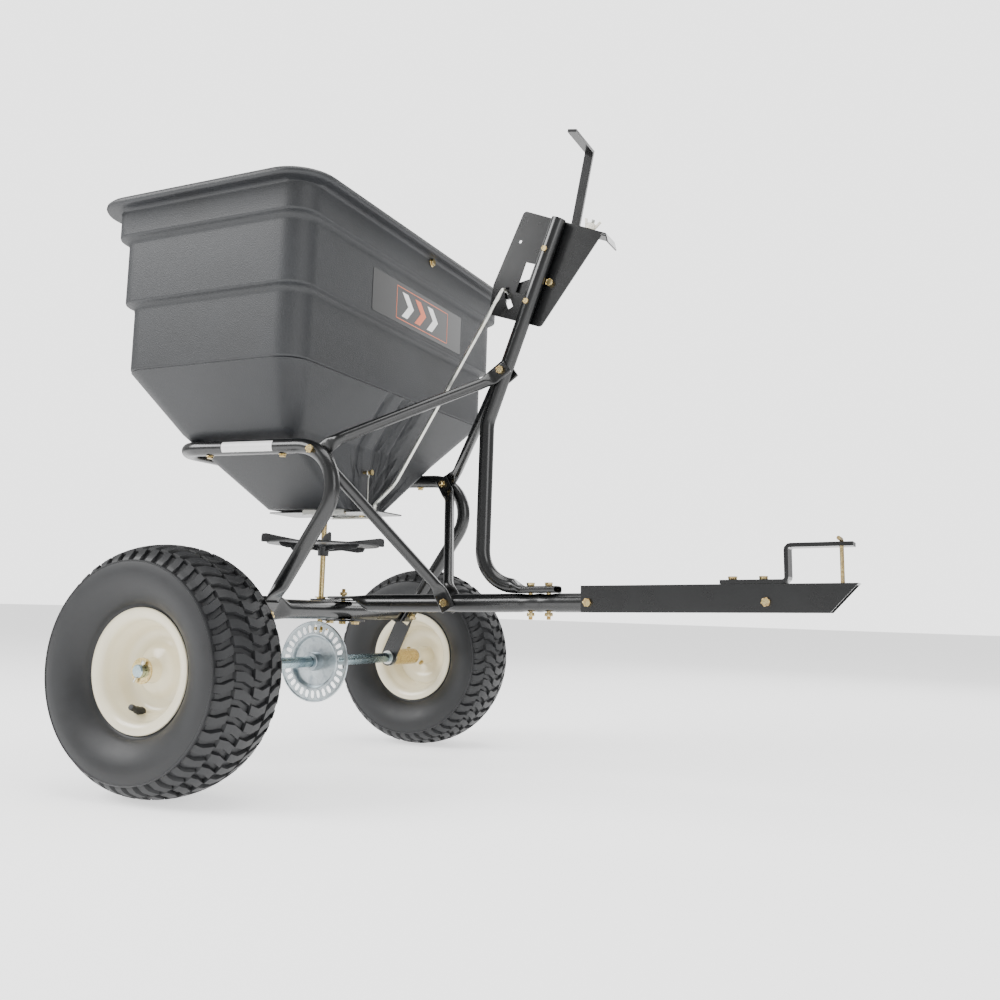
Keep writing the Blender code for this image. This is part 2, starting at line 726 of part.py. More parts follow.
def make_upright(parent):
    foot_h = HITCH_R + GAP + UPRIGHT_R
    elbow_s = UPRIGHT_X / math.cos(TONGUE_RISE)
    path = bent_path([on_tongue(UPRIGHT_FOOT_S, 0, foot_h), on_tongue(elbow_s, 0, foot_h),
                      Vector((UPRIGHT_X, 0, UPRIGHT_KINK_Z)),
                      Vector((upright_at(UPRIGHT_TOP_Z), 0, UPRIGHT_TOP_Z))],
                     [UPRIGHT_FOOT_BEND, UPRIGHT_KINK_BEND], 4)
    return node("upright_tube",
                tube(path, UPRIGHT_R, TONGUE_UP, press_start=0.060, flat_half=UPRIGHT_FOOT_HALF,
                     fade=0.024, shift_start=UPRIGHT_FOOT_HALF - UPRIGHT_R),
                "black_paint", parent, 50)


def make_brace(name, start, end, start_dir, end_dir, parent):
    """Round brace whose pressed ends lie flat in the XZ plane."""
    tab, blend = 0.013, 0.030
    start, end = Vector(start), Vector(end)
    path = bent_path([start - start_dir * tab, start + start_dir * blend,
                      end - end_dir * blend, end + end_dir * tab], [0.05, 0.05], 2)
    return node(name, tube(path, BRACE_R, Vector((0, 1, 0)), press_start=0.030, press_end=0.030,
                           fade=0.022, count=10),
                "black_paint", parent, 50)


def make_braces(parent):
    """Four braces from the loop tube's knees to the upright and to the hitch tube."""
    made = {}
    stack = 2 * FLAT_HALF + GAP
    for label, side in SIDES:
        anchor = brace_anchor(side)
        first = LOOP_Y - LOOP_R - GAP - FLAT_HALF
        goals = (("upper", first, Vector((upright_at(UPPER_BRACE_Z), 0, UPPER_BRACE_Z)),
                  UPRIGHT_R),
                 ("lower", first - stack, on_tongue(LOWER_BRACE_S), HITCH_R))
        for level, y, goal, radius in goals:
            start = Vector((anchor.x, side * y, anchor.z))
            end = Vector((goal.x, side * (radius + GAP + FLAT_HALF), goal.z))
            flat = Vector((end.x - start.x, 0, end.z - start.z)).normalized()
            name = f"{label}_{level}_brace"
            made[name] = make_brace(name, start, end, flat, flat, parent)
    return made


# ================================================================ tongue and hitch
def tongue_box_ring(s, outline):
    return [on_tongue(s, y, h) for y, h in outline]


def make_tongue_channel(parent):
    """Channel with its web on top; the hitch tube runs inside it and the front is bevelled."""
    inside = HITCH_R + GAP
    out = inside + CHANNEL_WALL
    low, top = -HITCH_R, CHANNEL_HEIGHT - HITCH_R
    web = top - CHANNEL_WALL

    def section(s_top, s_low):
        def s_at(h):
            return s_low + (s_top - s_low) * (h - low) / (top - low)
        outline = [(-out, top), (-out, low), (-inside, low), (-inside, web), (inside, web),
                   (inside, low), (out, low), (out, top)]
        return [on_tongue(s_at(h), y, h) for y, h in outline]

    rings = [section(CHANNEL_REAR_S, CHANNEL_REAR_S),
             section(CHANNEL_FRONT_S, CHANNEL_FRONT_S - CHANNEL_BEVEL)]
    return node("tongue_channel", loft(rings), "black_paint", parent)


CHANNEL_TOP_H = CHANNEL_HEIGHT - HITCH_R


def make_hitch_bracket(parent):
    """Z-shaped plate on the channel: the drawbar goes between its top leg and the channel."""
    t = HITCH_PLATE
    foot = CHANNEL_TOP_H + GAP
    top = foot + HITCH_CLEAR_HEIGHT + t
    corners = [(HITCH_FOOT_REAR_S, foot), (HITCH_RISER_S + t / 2, foot),
               (HITCH_RISER_S + t / 2, top - t), (HITCH_TOP_FRONT_S, top - t),
               (HITCH_TOP_FRONT_S, top), (HITCH_RISER_S - t / 2, top),
               (HITCH_RISER_S - t / 2, foot + t), (HITCH_FOOT_REAR_S, foot + t)]
    bends = {1: 0.010, 2: 0.003, 5: 0.010, 6: 0.003}
    outline = []
    for i, corner in enumerate(corners):
        if i in bends:
            trio = [corners[i - 1], corner, corners[(i + 1) % len(corners)]]
            outline += rounded(trio, bends[i], 3)[4:8]
        else:
            outline.append(corner)
    half = HITCH_PLATE_HALF_WIDTH
    rings = [[on_tongue(s, y, h) for s, h in outline] for y in (-half, half)]
    return node("hitch_bracket", loft(rings), "black_paint", parent)


def make_hitch_pin(parent):
    """Drop-in pin with a bent grip, standing in the bracket and the channel's web."""
    top_h = CHANNEL_TOP_H + GAP + HITCH_CLEAR_HEIGHT + HITCH_PLATE
    tip_h = CHANNEL_TOP_H - CHANNEL_WALL - 0.012
    lift = HITCH_PIN_R + 0.0012
    up, across = TONGUE_UP, Vector((0, -1, 0))
    path = bent_path([on_tongue(HITCH_PIN_S, 0, tip_h), on_tongue(HITCH_PIN_S, 0, top_h + lift),
                      on_tongue(HITCH_PIN_S, -0.034, top_h + lift)], [HITCH_PIN_R * 1.5], 3)
    stations = []
    for i, point in enumerate(path):
        ahead = path[min(i + 1, len(path) - 1)] - point
        behind = point - path[max(i - 1, 0)]
        stations.append((point, (ahead.normalized() + behind.normalized()), HITCH_PIN_R))
    rings = [place(circle(r, 10), c, d, Vector((1, 0, 0))) for c, d, r in stations]
    return node("hitch_pin", loft(rings), "bright_zinc", parent)


# ================================================================ drive train
def make_rim(name, side, parent):
    """Pressed wheel centre and rim in one turned shape, with a hub tube on the axle."""
    b, w, t = RIM_BEAD_R, RIM_HALF_WIDTH, RIM_WALL
    hole = AXLE_R + RUNNING
    well = b - 0.0075
    outline = [
        (hole, HUB_OUTER), (HUB_R, HUB_OUTER), (HUB_R, 0.016), (0.030, 0.012), (0.055, 0.004),
        (well - t, 0.004), (well - t, 0.020), (b - t, w - 0.0015), (RIM_FLANGE_R, w),
        (RIM_FLANGE_R, w - t), (b, w - 0.004), (well, 0.020), (well, -0.020),
        (b, -w + 0.004), (RIM_FLANGE_R, -w + t), (RIM_FLANGE_R, -w),
        (b - t, -w + 0.0015), (well - t, -0.020), (well - t, 0.001), (0.055, 0.001),
        (0.030, 0.009), (HUB_R, 0.013), (HUB_R, -HUB_INNER), (hole, -HUB_INNER)]
    centre = Vector((0, side * TRACK / 2, AXLE_Z))
    bm = turned(outline, WHEEL_SEGMENTS, (0, side, 0), centre)
    return node(name, bm, "cream_paint", parent)


def make_tyre(name, side, parent):
    """Hollow turf tyre, open towards the rim."""
    seat, w, t = RIM_BEAD_R + GAP, RIM_HALF_WIDTH - 0.004 - GAP, TYRE_CARCASS
    wide, high = TYRE_HALF_WIDTH, TYRE_R
    rim_edge = RIM_FLANGE_R + 0.0015
    half = [(seat, w), (rim_edge, w), (rim_edge + 0.004, w + 0.010), (high * 0.70, wide * 0.96),
            (high * 0.79, wide), (high * 0.90, wide * 0.92), (high * 0.97, wide * 0.72),
            (high, wide * 0.28)]
    inner = [(high - t * 1.6, wide * 0.5), (high * 0.86, wide - t), (high * 0.70, wide * 0.93 - t),
             (seat, w - t)]
    outline = half + [(r, -y) for r, y in reversed(half)]
    outline += [(r, -y) for r, y in reversed(inner)] + inner
    centre = Vector((0, side * TRACK / 2, AXLE_Z))
    bm = turned(outline, WHEEL_SEGMENTS + 4, (0, side, 0), centre)
    return node(name, bm, "rubber", parent)


GEAR_Y = -GEAR_SLOT_R * PINION_TEETH / GEAR_SLOTS
AXLE_NEAR_END = -(TRACK / 2 + HUB_OUTER + AXLE_END_SPARE)
AXLE_FAR_END = TRACK / 2 + HUB_OUTER + WASHER


def make_ring_gear(parent):
    """Dished disc on the axle with a ring of radial slots that the pinion's teeth enter."""
    slots, half = GEAR_SLOTS, GEAR_THICKNESS / 2
    inner, outer = GEAR_SLOT_R - GEAR_SLOT_LENGTH / 2, GEAR_SLOT_R + GEAR_SLOT_LENGTH / 2
    hub_half = GEAR_HUB_LENGTH / 2
    hole = AXLE_R + GAP
    profile = [(GEAR_R, -half), (GEAR_R, half), (outer, half), (inner, half),
               (inner - 0.006, half), (inner - 0.010, half + GEAR_DISH),
               (GEAR_HUB_R, half + GEAR_DISH), (GEAR_HUB_R, hub_half), (hole, hub_half),
               (hole, -hub_half), (GEAR_HUB_R, -hub_half), (GEAR_HUB_R, -half + GEAR_DISH),
               (inner - 0.008, -half + GEAR_DISH), (inner - 0.004, -half), (inner, -half),
               (outer, -half)]
    centre = Vector((0, GEAR_Y, AXLE_Z))
    bm = bmesh.new()
    columns = []
    for k in range(2 * slots):
        half_slot = GEAR_SLOT_WIDTH / 2 * (1 if k % 2 else -1)
        base = math.tau * (k // 2) / slots
        column = []
        for r, w in profile:
            turn = base + half_slot / GEAR_SLOT_R
            column.append(bm.verts.new(centre + Vector((r * math.sin(turn), w, r * math.cos(turn)))))
        columns.append(column)
    count = len(profile)
    front_slot, back_slot = 2, count - 2
    for k, column in enumerate(columns):
        following = columns[(k + 1) % len(columns)]
        over_slot = k % 2 == 0
        for i in range(count):
            if over_slot and i in (front_slot, back_slot):
                continue
            j = (i + 1) % count
            bm.faces.new((column[i], column[j], following[j], following[i]))
        if over_slot:
            a, b = column, following
            bm.faces.new((a[2], a[3], a[-2], a[-1]))
            bm.faces.new((b[3], b[2], b[-1], b[-2]))
            bm.faces.new((a[2], a[-1], b[-1], b[2]))
            bm.faces.new((a[-2], a[3], b[3], b[-2]))
    return node("ring_gear", bm, "bright_zinc", parent)


def make_pinion(parent):
    """Six-toothed pinion whose teeth pass through the ring gear's slots."""
    pitch_r = GEAR_SLOT_R * PINION_TEETH / GEAR_SLOTS
    tip_r = pitch_r + PINION_ADDENDUM
    outline = []
    for k in range(PINION_TEETH):
        middle = -math.pi / 2 + math.tau * k / PINION_TEETH
        for r, width in ((PINION_HUB_R, -PINION_ROOT_WIDTH), (tip_r - 0.001, -PINION_TIP_WIDTH - 0.001),
                         (tip_r, -PINION_TIP_WIDTH / 2), (tip_r, PINION_TIP_WIDTH / 2),
                         (tip_r - 0.001, PINION_TIP_WIDTH + 0.001), (PINION_HUB_R, PINION_ROOT_WIDTH)):
            turn = middle + math.asin(width / 2 / r)
            outline.append((r * math.cos(turn), r * math.sin(turn)))
    z = AXLE_Z + GEAR_SLOT_R
    low, high = z - PINION_THICKNESS / 2, z + PINION_THICKNESS / 2
    pinion = node("pinion", prism(outline, low, high, "xy"), "yellow_zinc", parent)
    bore(pinion, (0, 0, low - 0.01), (0, 0, high + 0.01), SHAFT_R + GAP)
    return pinion


def make_shaft(parent):
    low = AXLE_Z + GEAR_SLOT_R - PINION_THICKNESS / 2 - 0.004
    high = HOPPER_BASE_Z + SHAFT_TOP_IN_HOPPER
    up = Vector((0, 0, 1))
    stations = [(Vector((0, 0, z)), up, r) for z, r in (
        (low, SHAFT_R - 0.001), (low + 0.001, SHAFT_R), (high - 0.001, SHAFT_R),
        (high, SHAFT_R - 0.001))]
    shaft = node("drive_shaft", rod_mesh(stations, 12), "yellow_zinc", parent)
    z = HOPPER_BASE_Z + 0.045
    bore(shaft, (-0.02, 0, z), (0.02, 0, z), M6 / 2 + BOLT_CLEARANCE, 8)
    return shaft


def make_agitator(parent):
    """Cross pin that stirs the hopper's floor."""
    z = HOPPER_BASE_Z + 0.045
    along = Vector((1, 0, 0))
    stations = [(Vector((x, 0, z)), along, M6 / 2) for x in (-0.044, 0.044)]
    return node("agitator_pin", rod_mesh(stations, 8), "bright_zinc", parent)


def bush(name, centre, axis, inner_r, outer_r, length, flange_r, flange, parent, finish_name):
    outline = [(inner_r, -length / 2), (inner_r, length / 2), (flange_r, length / 2),
               (flange_r, length / 2 - flange), (outer_r, length / 2 - flange),
               (outer_r, -length / 2)]
    return node(name, turned(outline, 14, axis, Vector(centre)), finish_name, parent)


def make_spinner(parent):
    """Thrower plate: hub, disc and curved vanes that stand above and below it."""
    hole = SHAFT_R + GAP
    z = SPINNER_Z
    t = SPINNER_PLATE
    outline = [(hole, z + 0.006), (SPINNER_HUB_R, z + 0.006), (SPINNER_HUB_R, z + t / 2),
               (SPINNER_R, z + t / 2), (SPINNER_R, z - t / 2), (SPINNER_HUB_R, z - t / 2),
               (SPINNER_HUB_R, z - SPINNER_HUB_DROP), (hole, z - SPINNER_HUB_DROP)]
    spinner = node("spinner_plate", turned(outline, 28, (0, 0, 1)), "black_nylon", parent)
    for k in range(VANE_COUNT):
        turn = math.tau * (k + 0.32) / VANE_COUNT
        spin = Matrix.Rotation(turn, 4, "Z")
        inner_r, half = SPINNER_HUB_R + 0.014, VANE_THICKNESS / 2
        profile = [(inner_r, z + t / 2 - 0.0008), (inner_r, z + 0.003),
                   (VANE_REACH - 0.006, z + VANE_HEIGHT), (VANE_REACH, z + VANE_HEIGHT - 0.005),
                   (VANE_REACH, z - t / 2), (SPINNER_R - 0.03, z - t / 2)]
        bm = prism(profile, -half, half, "xz")
        bmesh.ops.transform(bm, matrix=spin, verts=bm.verts)
        join(spinner, bm)
    return spinner


# ================================================================ flow control
PLATE_NEAR_Y = UPRIGHT_R + GAP
PLATE_FAR_Y = PLATE_NEAR_Y + FLOW_PLATE
LEVER_NEAR_Y = PLATE_FAR_Y + 0.0035
LEVER_FAR_Y = LEVER_NEAR_Y + LEVER_PLATE
FLANGE_DIR = (Vector(FLOW_TOP_FRONT) - Vector(FLOW_TOP_REAR)).normalized()
FLANGE_UP = Vector((-FLANGE_DIR.y, FLANGE_DIR.x))


def flange_z(x):
    rear = Vector(FLOW_TOP_REAR)
    return rear.y + (x - rear.x) * FLANGE_DIR.y / FLANGE_DIR.x


def arc_slot(pivot, radius, middle_deg, sweep_deg, half_width, steps=5):
    """Outline of a slot that follows an arc about pivot, in the XZ plane."""
    low, high = middle_deg + sweep_deg[0], middle_deg + sweep_deg[1]
    outline = []
    for r, order in ((radius + half_width, range(steps + 1)),
                     (radius - half_width, range(steps, -1, -1))):
        for k in order:
            turn = math.radians(low + (high - low) * k / steps)
            outline.append((pivot[0] + r * math.cos(turn), pivot[1] + r * math.sin(turn)))
    return outline


def make_flow_plate(parent):
    """Side plate on the upright with a top flange that the lever and its stop work in."""
    corners = [FLOW_TOP_REAR, FLOW_WAIST_REAR, FLOW_FOOT_REAR, FLOW_FOOT_FRONT, FLOW_TOP_FRONT]
    bm = prism(rounded(corners, 0.006, 2), PLATE_NEAR_Y, PLATE_FAR_Y, "xz")
    plate = node("flow_bracket", bm, "black_paint", parent)
    rear = Vector(FLOW_TOP_REAR) + FLANGE_DIR * 0.004
    tip = Vector(FLOW_TOP_FRONT) + FLANGE_DIR * 0.006
    lip = tip + (FLANGE_DIR * 0.6 - FLANGE_UP * 0.8) * 0.016
    t = FLOW_PLATE
    outline = [rear, rear + FLANGE_UP * -t, tip + FLANGE_UP * -t,
               lip - (FLANGE_DIR * 0.8 + FLANGE_UP * 0.6) * t, lip, tip]
    join(plate, prism([tuple(p) for p in outline], PLATE_NEAR_Y, PLATE_NEAR_Y + FLOW_FLANGE_WIDTH,
                      "xz"))
    window = [(0.3946, 0.9072), (0.3761, 0.8544), (0.3925, 0.8475), (0.4121, 0.9014)]
    cutter(plate, prism(window, PLATE_NEAR_Y - 0.01, PLATE_FAR_Y + 0.002, "xz"))
    hook = Vector(ROD_HOOK) - Vector(LEVER_PIVOT)
    middle = math.degrees(math.atan2(hook.y, hook.x))
    sweep = (-LEVER_OPEN_DEG - SLOT_SPARE_DEG, LEVER_CLOSE_DEG + SLOT_SPARE_DEG)
    slot = arc_slot(LEVER_PIVOT, hook.length, middle, sweep, ROD_R + 0.0014)
    cutter(plate, prism(slot, PLATE_NEAR_Y - 0.01, PLATE_FAR_Y + 0.002, "xz"))
    bore(plate, (0.3825, PLATE_NEAR_Y - 0.01, 0.9465), (0.3825, PLATE_FAR_Y + 0.01, 0.9465),
         0.003, 8)
    slot_front = STOP_X + 0.030
    slot_rear = LEVER_FLANGE_X - 0.050
    low, high = LEVER_NEAR_Y - 0.0015, LEVER_FAR_Y + 0.0015
    depth = 0.02
    outline = [(x, flange_z(x) + h) for x, h in (
        (slot_rear, -depth), (slot_front, -depth), (slot_front, depth), (slot_rear, depth))]
    cutter(plate, prism(outline, low, high, "xz"))
    return plate


def lever_outline():
    """Bell crank: a short arm back to the rod hook and a long one up to the grip."""
    flange = Vector((LEVER_FLANGE_X, flange_z(LEVER_FLANGE_X)))
    top = Vector(LEVER_TOP)
    up = (top - flange).normalized()
    side = Vector((up.y, -up.x)) * (LEVER_WIDTH / 2)
    low = flange - up * 0.098
    hook = Vector(ROD_HOOK)
    return [tuple(p) for p in (
        top + side, top - side, low - side + up * 0.022, hook + Vector((-0.004, 0.011)),
        hook + Vector((-0.012, 0.004)), hook + Vector((-0.012, -0.006)),
        hook + Vector((-0.003, -0.012)), low - side - Vector((0, 0.010)),
        low + side - Vector((0.006, 0.008)), low + side + up * 0.010)]


def make_lever(parent):
    lever = node("flow_lever", prism(lever_outline(), LEVER_NEAR_Y, LEVER_FAR_Y, "xz"),
                 "black_paint", parent)
    flange = Vector((LEVER_FLANGE_X, flange_z(LEVER_FLANGE_X)))
    top = Vector(LEVER_TOP)
    up = (top - flange).normalized()
    side = Vector((up.y, -up.x)) * (LEVER_WIDTH / 2)
    below = top - up * LEVER_PLATE
    outline = [tuple(p) for p in (top + side, top - side, below - side, below + side)]
    join(lever, prism(outline, LEVER_FAR_Y - LEVER_HANDLE, LEVER_FAR_Y, "xz"))
    bore(lever, (ROD_HOOK[0], LEVER_NEAR_Y - 0.01, ROD_HOOK[1]),
         (ROD_HOOK[0], LEVER_FAR_Y + 0.01, ROD_HOOK[1]), ROD_R + RUNNING)
    return lever


def make_pivot_bolt(plate, lever, parent):
    """Shoulder bolt that the lever turns on."""
    head = Vector((LEVER_PIVOT[0], PLATE_NEAR_Y, LEVER_PIVOT[1]))
    end = Vector((LEVER_PIVOT[0], LEVER_FAR_Y + 0.0008, LEVER_PIVOT[1]))
    for piece, spare in ((plate, BOLT_CLEARANCE), (lever, RUNNING)):
        bore(piece, head - Vector((0, 0.01, 0)), end + Vector((0, 0.01, 0)), M8 + spare)
    return bolt("lever_pivot_bolt", head, end, M8, parent)


def make_rod(parent):
    """Control rod: hooked into the lever, bent near the hopper and dropped into the gate."""
    hook = Vector((ROD_HOOK[0], ROD_Y, ROD_HOOK[1]))
    inside = Vector((ROD_HOOK[0], LEVER_FAR_Y + 0.005, ROD_HOOK[1]))
    ear_z = GATE_TOP
    low = Vector((GATE_TAB_X, GATE_TAB_Y, ear_z - 0.009))
    above = Vector((GATE_TAB_X, GATE_TAB_Y, ear_z + 0.012))
    kink = Vector((ROD_KINK[0], GATE_TAB_Y, ROD_KINK[1]))
    path = bent_path([inside, hook, kink, above, low], [0.007, 0.05, 0.010], 4)
    stations = []
    for i, point in enumerate(path):
        ahead = (path[min(i + 1, len(path) - 1)] - point).normalized()
        behind = (point - path[max(i - 1, 0)]).normalized()
        stations.append((point, (ahead + behind).normalized()))
    side = Vector((1, 0, 0))
    rings = []
    for point, along in stations:
        side = (side - along * side.dot(along)).normalized()
        across = side.cross(along).normalized()
        rings.append([point + across * u + side * v for u, v in circle(ROD_R, 8)])
    return node("control_rod", loft(rings), "bright_zinc", parent)


def make_stop(parent):
    """Carriage bolt through the flange's slot, and the wing nut that locks it."""
    y = (LEVER_NEAR_Y + LEVER_FAR_Y) / 2
    foot = Vector((STOP_X, y, flange_z(STOP_X)))
    up = Vector((FLANGE_UP.x, 0, FLANGE_UP.y))
    half_slot = LEVER_PLATE / 2 + 0.0015
    neck = half_slot - GAP
    stations = [(foot + up * w, up, r) for w, r in (
        (-FLOW_PLATE - GAP - 0.003, 0.004), (-FLOW_PLATE - GAP - 0.002, 0.0055),
        (-FLOW_PLATE - GAP, 0.0055), (-FLOW_PLATE - GAP, neck), (0.016, neck), (0.018, neck - 0.001))]
    stop = node("stop_bolt", rod_mesh(stations, 8), "bright_zinc", parent)
    hole = neck + GAP
    outline = [(hole, GAP), (0.0095, GAP), (0.0095, 0.003), (0.007, 0.011), (hole, 0.011)]
    wing = node("stop_wing_nut", turned(outline, 12, up, foot), "white_nylon", parent)
    along = Vector((FLANGE_DIR.x, 0, FLANGE_DIR.y))
    for sign in (1, -1):
        profile = ((0.0062, 0.004), (0.010, 0.0035), (0.016, 0.017), (0.0125, 0.018))
        rings = [[foot + along * (sign * u) + up * v + Vector((0, w, 0)) for u, v in profile]
                 for w in (-0.0018, 0.0018)]
        join(wing, loft(rings))
    return stop, wing


def make_hanger(hopper, parent):
    """Wire hanger on a stud in the hopper's front that steadies the rod's lower end."""
    z = HOPPER_BASE_Z + 0.070
    front = HOPPER_BASE_FRONT + (HOPPER_KNEE_FRONT - HOPPER_BASE_FRONT) * (
        (z - HOPPER_BASE_Z) / (HOPPER_KNEE_Z - HOPPER_BASE_Z))
    y = GATE_TAB_Y + 0.012
    head = Vector((front + 0.018, y, z))
    back = Vector((front - HOPPER_WALL * 1.4, y, z))
    for piece in (hopper,):
        bore(piece, head, back - Vector((0.02, 0, 0)), M6 + BOLT_CLEARANCE)
    along = Vector((-1, 0, 0))
    stations = [(head + along * w, along, r) for w, r in (
        (0.0, M6 * 1.8), (0.004, M6 * 1.8), (0.004, M6), (0.0185 + HOPPER_WALL * 1.6, M6),
        (0.0185 + HOPPER_WALL * 1.6, M6 * 1.7), (0.0225 + HOPPER_WALL * 1.6, M6 * 1.7))]
    stud = node("hanger_stud", rod_mesh(stations, 8), "yellow_zinc", parent)
    wire = 0.0014
    ring_r = M6 + BOLT_CLEARANCE + wire
    centre = Vector((head.x - 0.008, y, z))
    points = []
    for k in range(9):
        turn = math.radians(90 - 300 * k / 8)
        points.append(centre + Vector((0, ring_r * math.cos(turn), ring_r * math.sin(turn))))
    points.reverse()
    drop = Vector((centre.x, y - ring_r, HOPPER_BASE_Z + 0.014))
    points = points[:-2] + [Vector((centre.x, y - 0.0005, z - ring_r - 0.006)),
                            Vector((centre.x, y, drop.z)), Vector((centre.x, y + 0.006, drop.z - 0.004))]
    side = Vector((1, 0, 0))
    rings = []
    for i, point in enumerate(points):
        ahead = (points[min(i + 1, len(points) - 1)] - point).normalized()
        behind = (point - points[max(i - 1, 0)]).normalized()
        along = (ahead + behind).normalized()
        side = (side - along * side.dot(along)).normalized()
        across = side.cross(along).normalized()
        rings.append([point + across * u + side * v for u, v in circle(wire, 6)])
    return stud, node("rod_hanger", loft(rings), "bright_zinc", parent)


# ================================================================ assembly
def make_frame(root):
    loop = make_loop(root)
    cross = make_cross_tube(root)
    hitch = make_hitch_tube(root)
    upright = make_upright(root)
    braces = make_braces(root)
    plate = make_shaft_plate(root)
    clamp = make_clamp_plate(root)
    channel = make_tongue_channel(root)
    bracket = make_hitch_bracket(root)
    make_hitch_pin(root)

    for label, side in SIDES:
        arm = make_axle_bracket(f"{label}_axle_bracket", side, root)
        centre = Vector((0, side * (LOOP_Y + 0.018), AXLE_Z))
        outer_r = AXLE_R + RUNNING + 0.0035
        bore(arm, centre - Vector((0, 0.03, 0)), centre + Vector((0, 0.03, 0)), outer_r + GAP)
        bush(f"{label}_axle_bush", centre + Vector((0, side * 0.0018, 0)), (0, side, 0),
             AXLE_R + RUNNING, outer_r, 0.0115, outer_r + 0.004, 0.0025, root, "bright_zinc")
        head = leg_point(side, 0.0, FLAT_HALF + GAP + 0.003)
        nut = leg_point(side, 0.0, -FLAT_HALF - GAP - 2 * CROSS_FLAT_HALF)
        bolted(f"{label}_leg_bolt", nut, head, M8, root, (loop, cross, arm))
        anchor = brace_anchor(side)
        outside = Vector((anchor.x, side * (LOOP_Y + LOOP_R), anchor.z))
        inside = Vector((anchor.x, side * (LOOP_Y - LOOP_R - 2 * (2 * FLAT_HALF + GAP)), anchor.z))
        bolted(f"{label}_knee_bolt", outside, inside, M8, root,
               (loop, braces[f"{label}_upper_brace"], braces[f"{label}_lower_brace"]))

    across = UPRIGHT_R + GAP + 2 * FLAT_HALF
    at = Vector((upright_at(UPPER_BRACE_Z), 0, UPPER_BRACE_Z))
    bolted("upright_brace_bolt", at - Vector((0, across, 0)), at + Vector((0, across, 0)), M8, root,
           (upright, braces["near_upper_brace"], braces["far_upper_brace"]))
    across = HITCH_R + GAP + 2 * FLAT_HALF
    at = on_tongue(LOWER_BRACE_S)
    bolted("hitch_brace_bolt", at - Vector((0, across, 0)), at + Vector((0, across, 0)), M8, root,
           (hitch, braces["near_lower_brace"], braces["far_lower_brace"]))

    plate_top = CROSS_Z + CROSS_R + GAP + CLAMP_PLATE
    under_z = CROSS_Z - CROSS_R - GAP - CLAMP_PLATE
    top_z = plate_top + GAP + 2 * FLAT_HALF + (CLAMP_FRONT - HITCH_REAR_S) * math.sin(TONGUE_RISE)
    bolted("cross_tube_bolt", (CROSS_X, 0, under_z), (CROSS_X, 0, top_z), M8, root,
           (hitch, cross, plate, clamp))

    for label, s in (("rear", UPRIGHT_FOOT_S - 0.049), ("front", UPRIGHT_FOOT_S - 0.016)):
        head = on_tongue(s, 0, HITCH_R + GAP + 2 * UPRIGHT_FOOT_HALF)
        bolted(f"upright_foot_bolt_{label}", head, on_tongue(s, 0, -HITCH_R), M8, root,
               (hitch, upright))

    wide = HITCH_R + GAP + CHANNEL_WALL
    for label, s in (("rear", CHANNEL_REAR_S + 0.012), ("front", 0.8205)):
        bolted(f"tongue_bolt_{label}", on_tongue(s, -wide), on_tongue(s, wide), M8, root,
               (hitch, channel))
    for label, s in (("rear", 0.767), ("front", 0.814)):
        head_h = CHANNEL_TOP_H + GAP + HITCH_PLATE
        bolted(f"hitch_bracket_bolt_{label}", on_tongue(s, 0, head_h),
               on_tongue(s, 0, HITCH_R - NUT_SEAT_DROP), M8, root, (channel, bracket, hitch),
               spare=GAP)
    for piece in (channel, bracket):
        bore(piece, on_tongue(HITCH_PIN_S, 0, 0.0), on_tongue(HITCH_PIN_S, 0, 0.12),
             HITCH_PIN_R + 0.001)
    return upright


def make_flow_control(root, upright):
    plate = make_flow_plate(root)
    lever = make_lever(root)
    make_pivot_bolt(plate, lever, root)
    for label, z in (("lower", FLOW_BOLT_Z[0]), ("upper", FLOW_BOLT_Z[1])):
        at = Vector((upright_at(z), 0, z))
        bolted(f"flow_bracket_bolt_{label}", at - Vector((0, UPRIGHT_R, 0)),
               at + Vector((0, PLATE_FAR_Y, 0)), M8 * 0.75, root, (plate, upright))
    make_rod(root)
    make_stop(root)


def make_drive(root):
    along = Vector((0, 1, 0))
    ends = (AXLE_NEAR_END, AXLE_FAR_END)
    stations = [(Vector((0, y, AXLE_Z)), along, r) for y, r in (
        (ends[0], AXLE_R - 0.0015), (ends[0] + 0.0015, AXLE_R), (ends[1] - 0.0015, AXLE_R),
        (ends[1], AXLE_R - 0.0015))]
    axle = node("axle", rod_mesh(stations, 16), "axle_steel", root)
    make_ring_gear(root)
    make_pinion(root)
    make_shaft(root)
    make_agitator(root)
    make_spinner(root)
    rims = {}
    for label, side in SIDES:
        rims[label] = make_rim(f"{label}_rim", side, root)
        make_tyre(f"{label}_tyre", side, root)
        inner = LOOP_Y + 0.018 + 0.0018 + 0.0115 / 2 + 0.001
        outer = TRACK / 2 - HUB_INNER - 0.001
        outline = [(AXLE_R + RUNNING, inner), (AXLE_R + RUNNING, outer), (0.0165, outer),
                   (0.0165, inner)]
        bm = turned(outline, 16, (0, side, 0), Vector((0, 0, AXLE_Z)))
        node(f"{label}_axle_spacer", bm, "yellow_zinc", root)
    start = TRACK / 2 + HUB_OUTER + 0.0006
    outline = [(AXLE_R + RUNNING, start), (AXLE_R + RUNNING, start + WASHER),
               (WASHER_R, start + WASHER), (WASHER_R, start)]
    bm = turned(outline, 16, (0, NEAR, 0), Vector((0, 0, AXLE_Z)))
    node("near_wheel_washer", bm, "yellow_zinc", root)
    make_cotter("cotter_pin", NEAR * (start + WASHER + 0.0042), axle, root)
    make_drive_pin(axle, rims["far"], root)


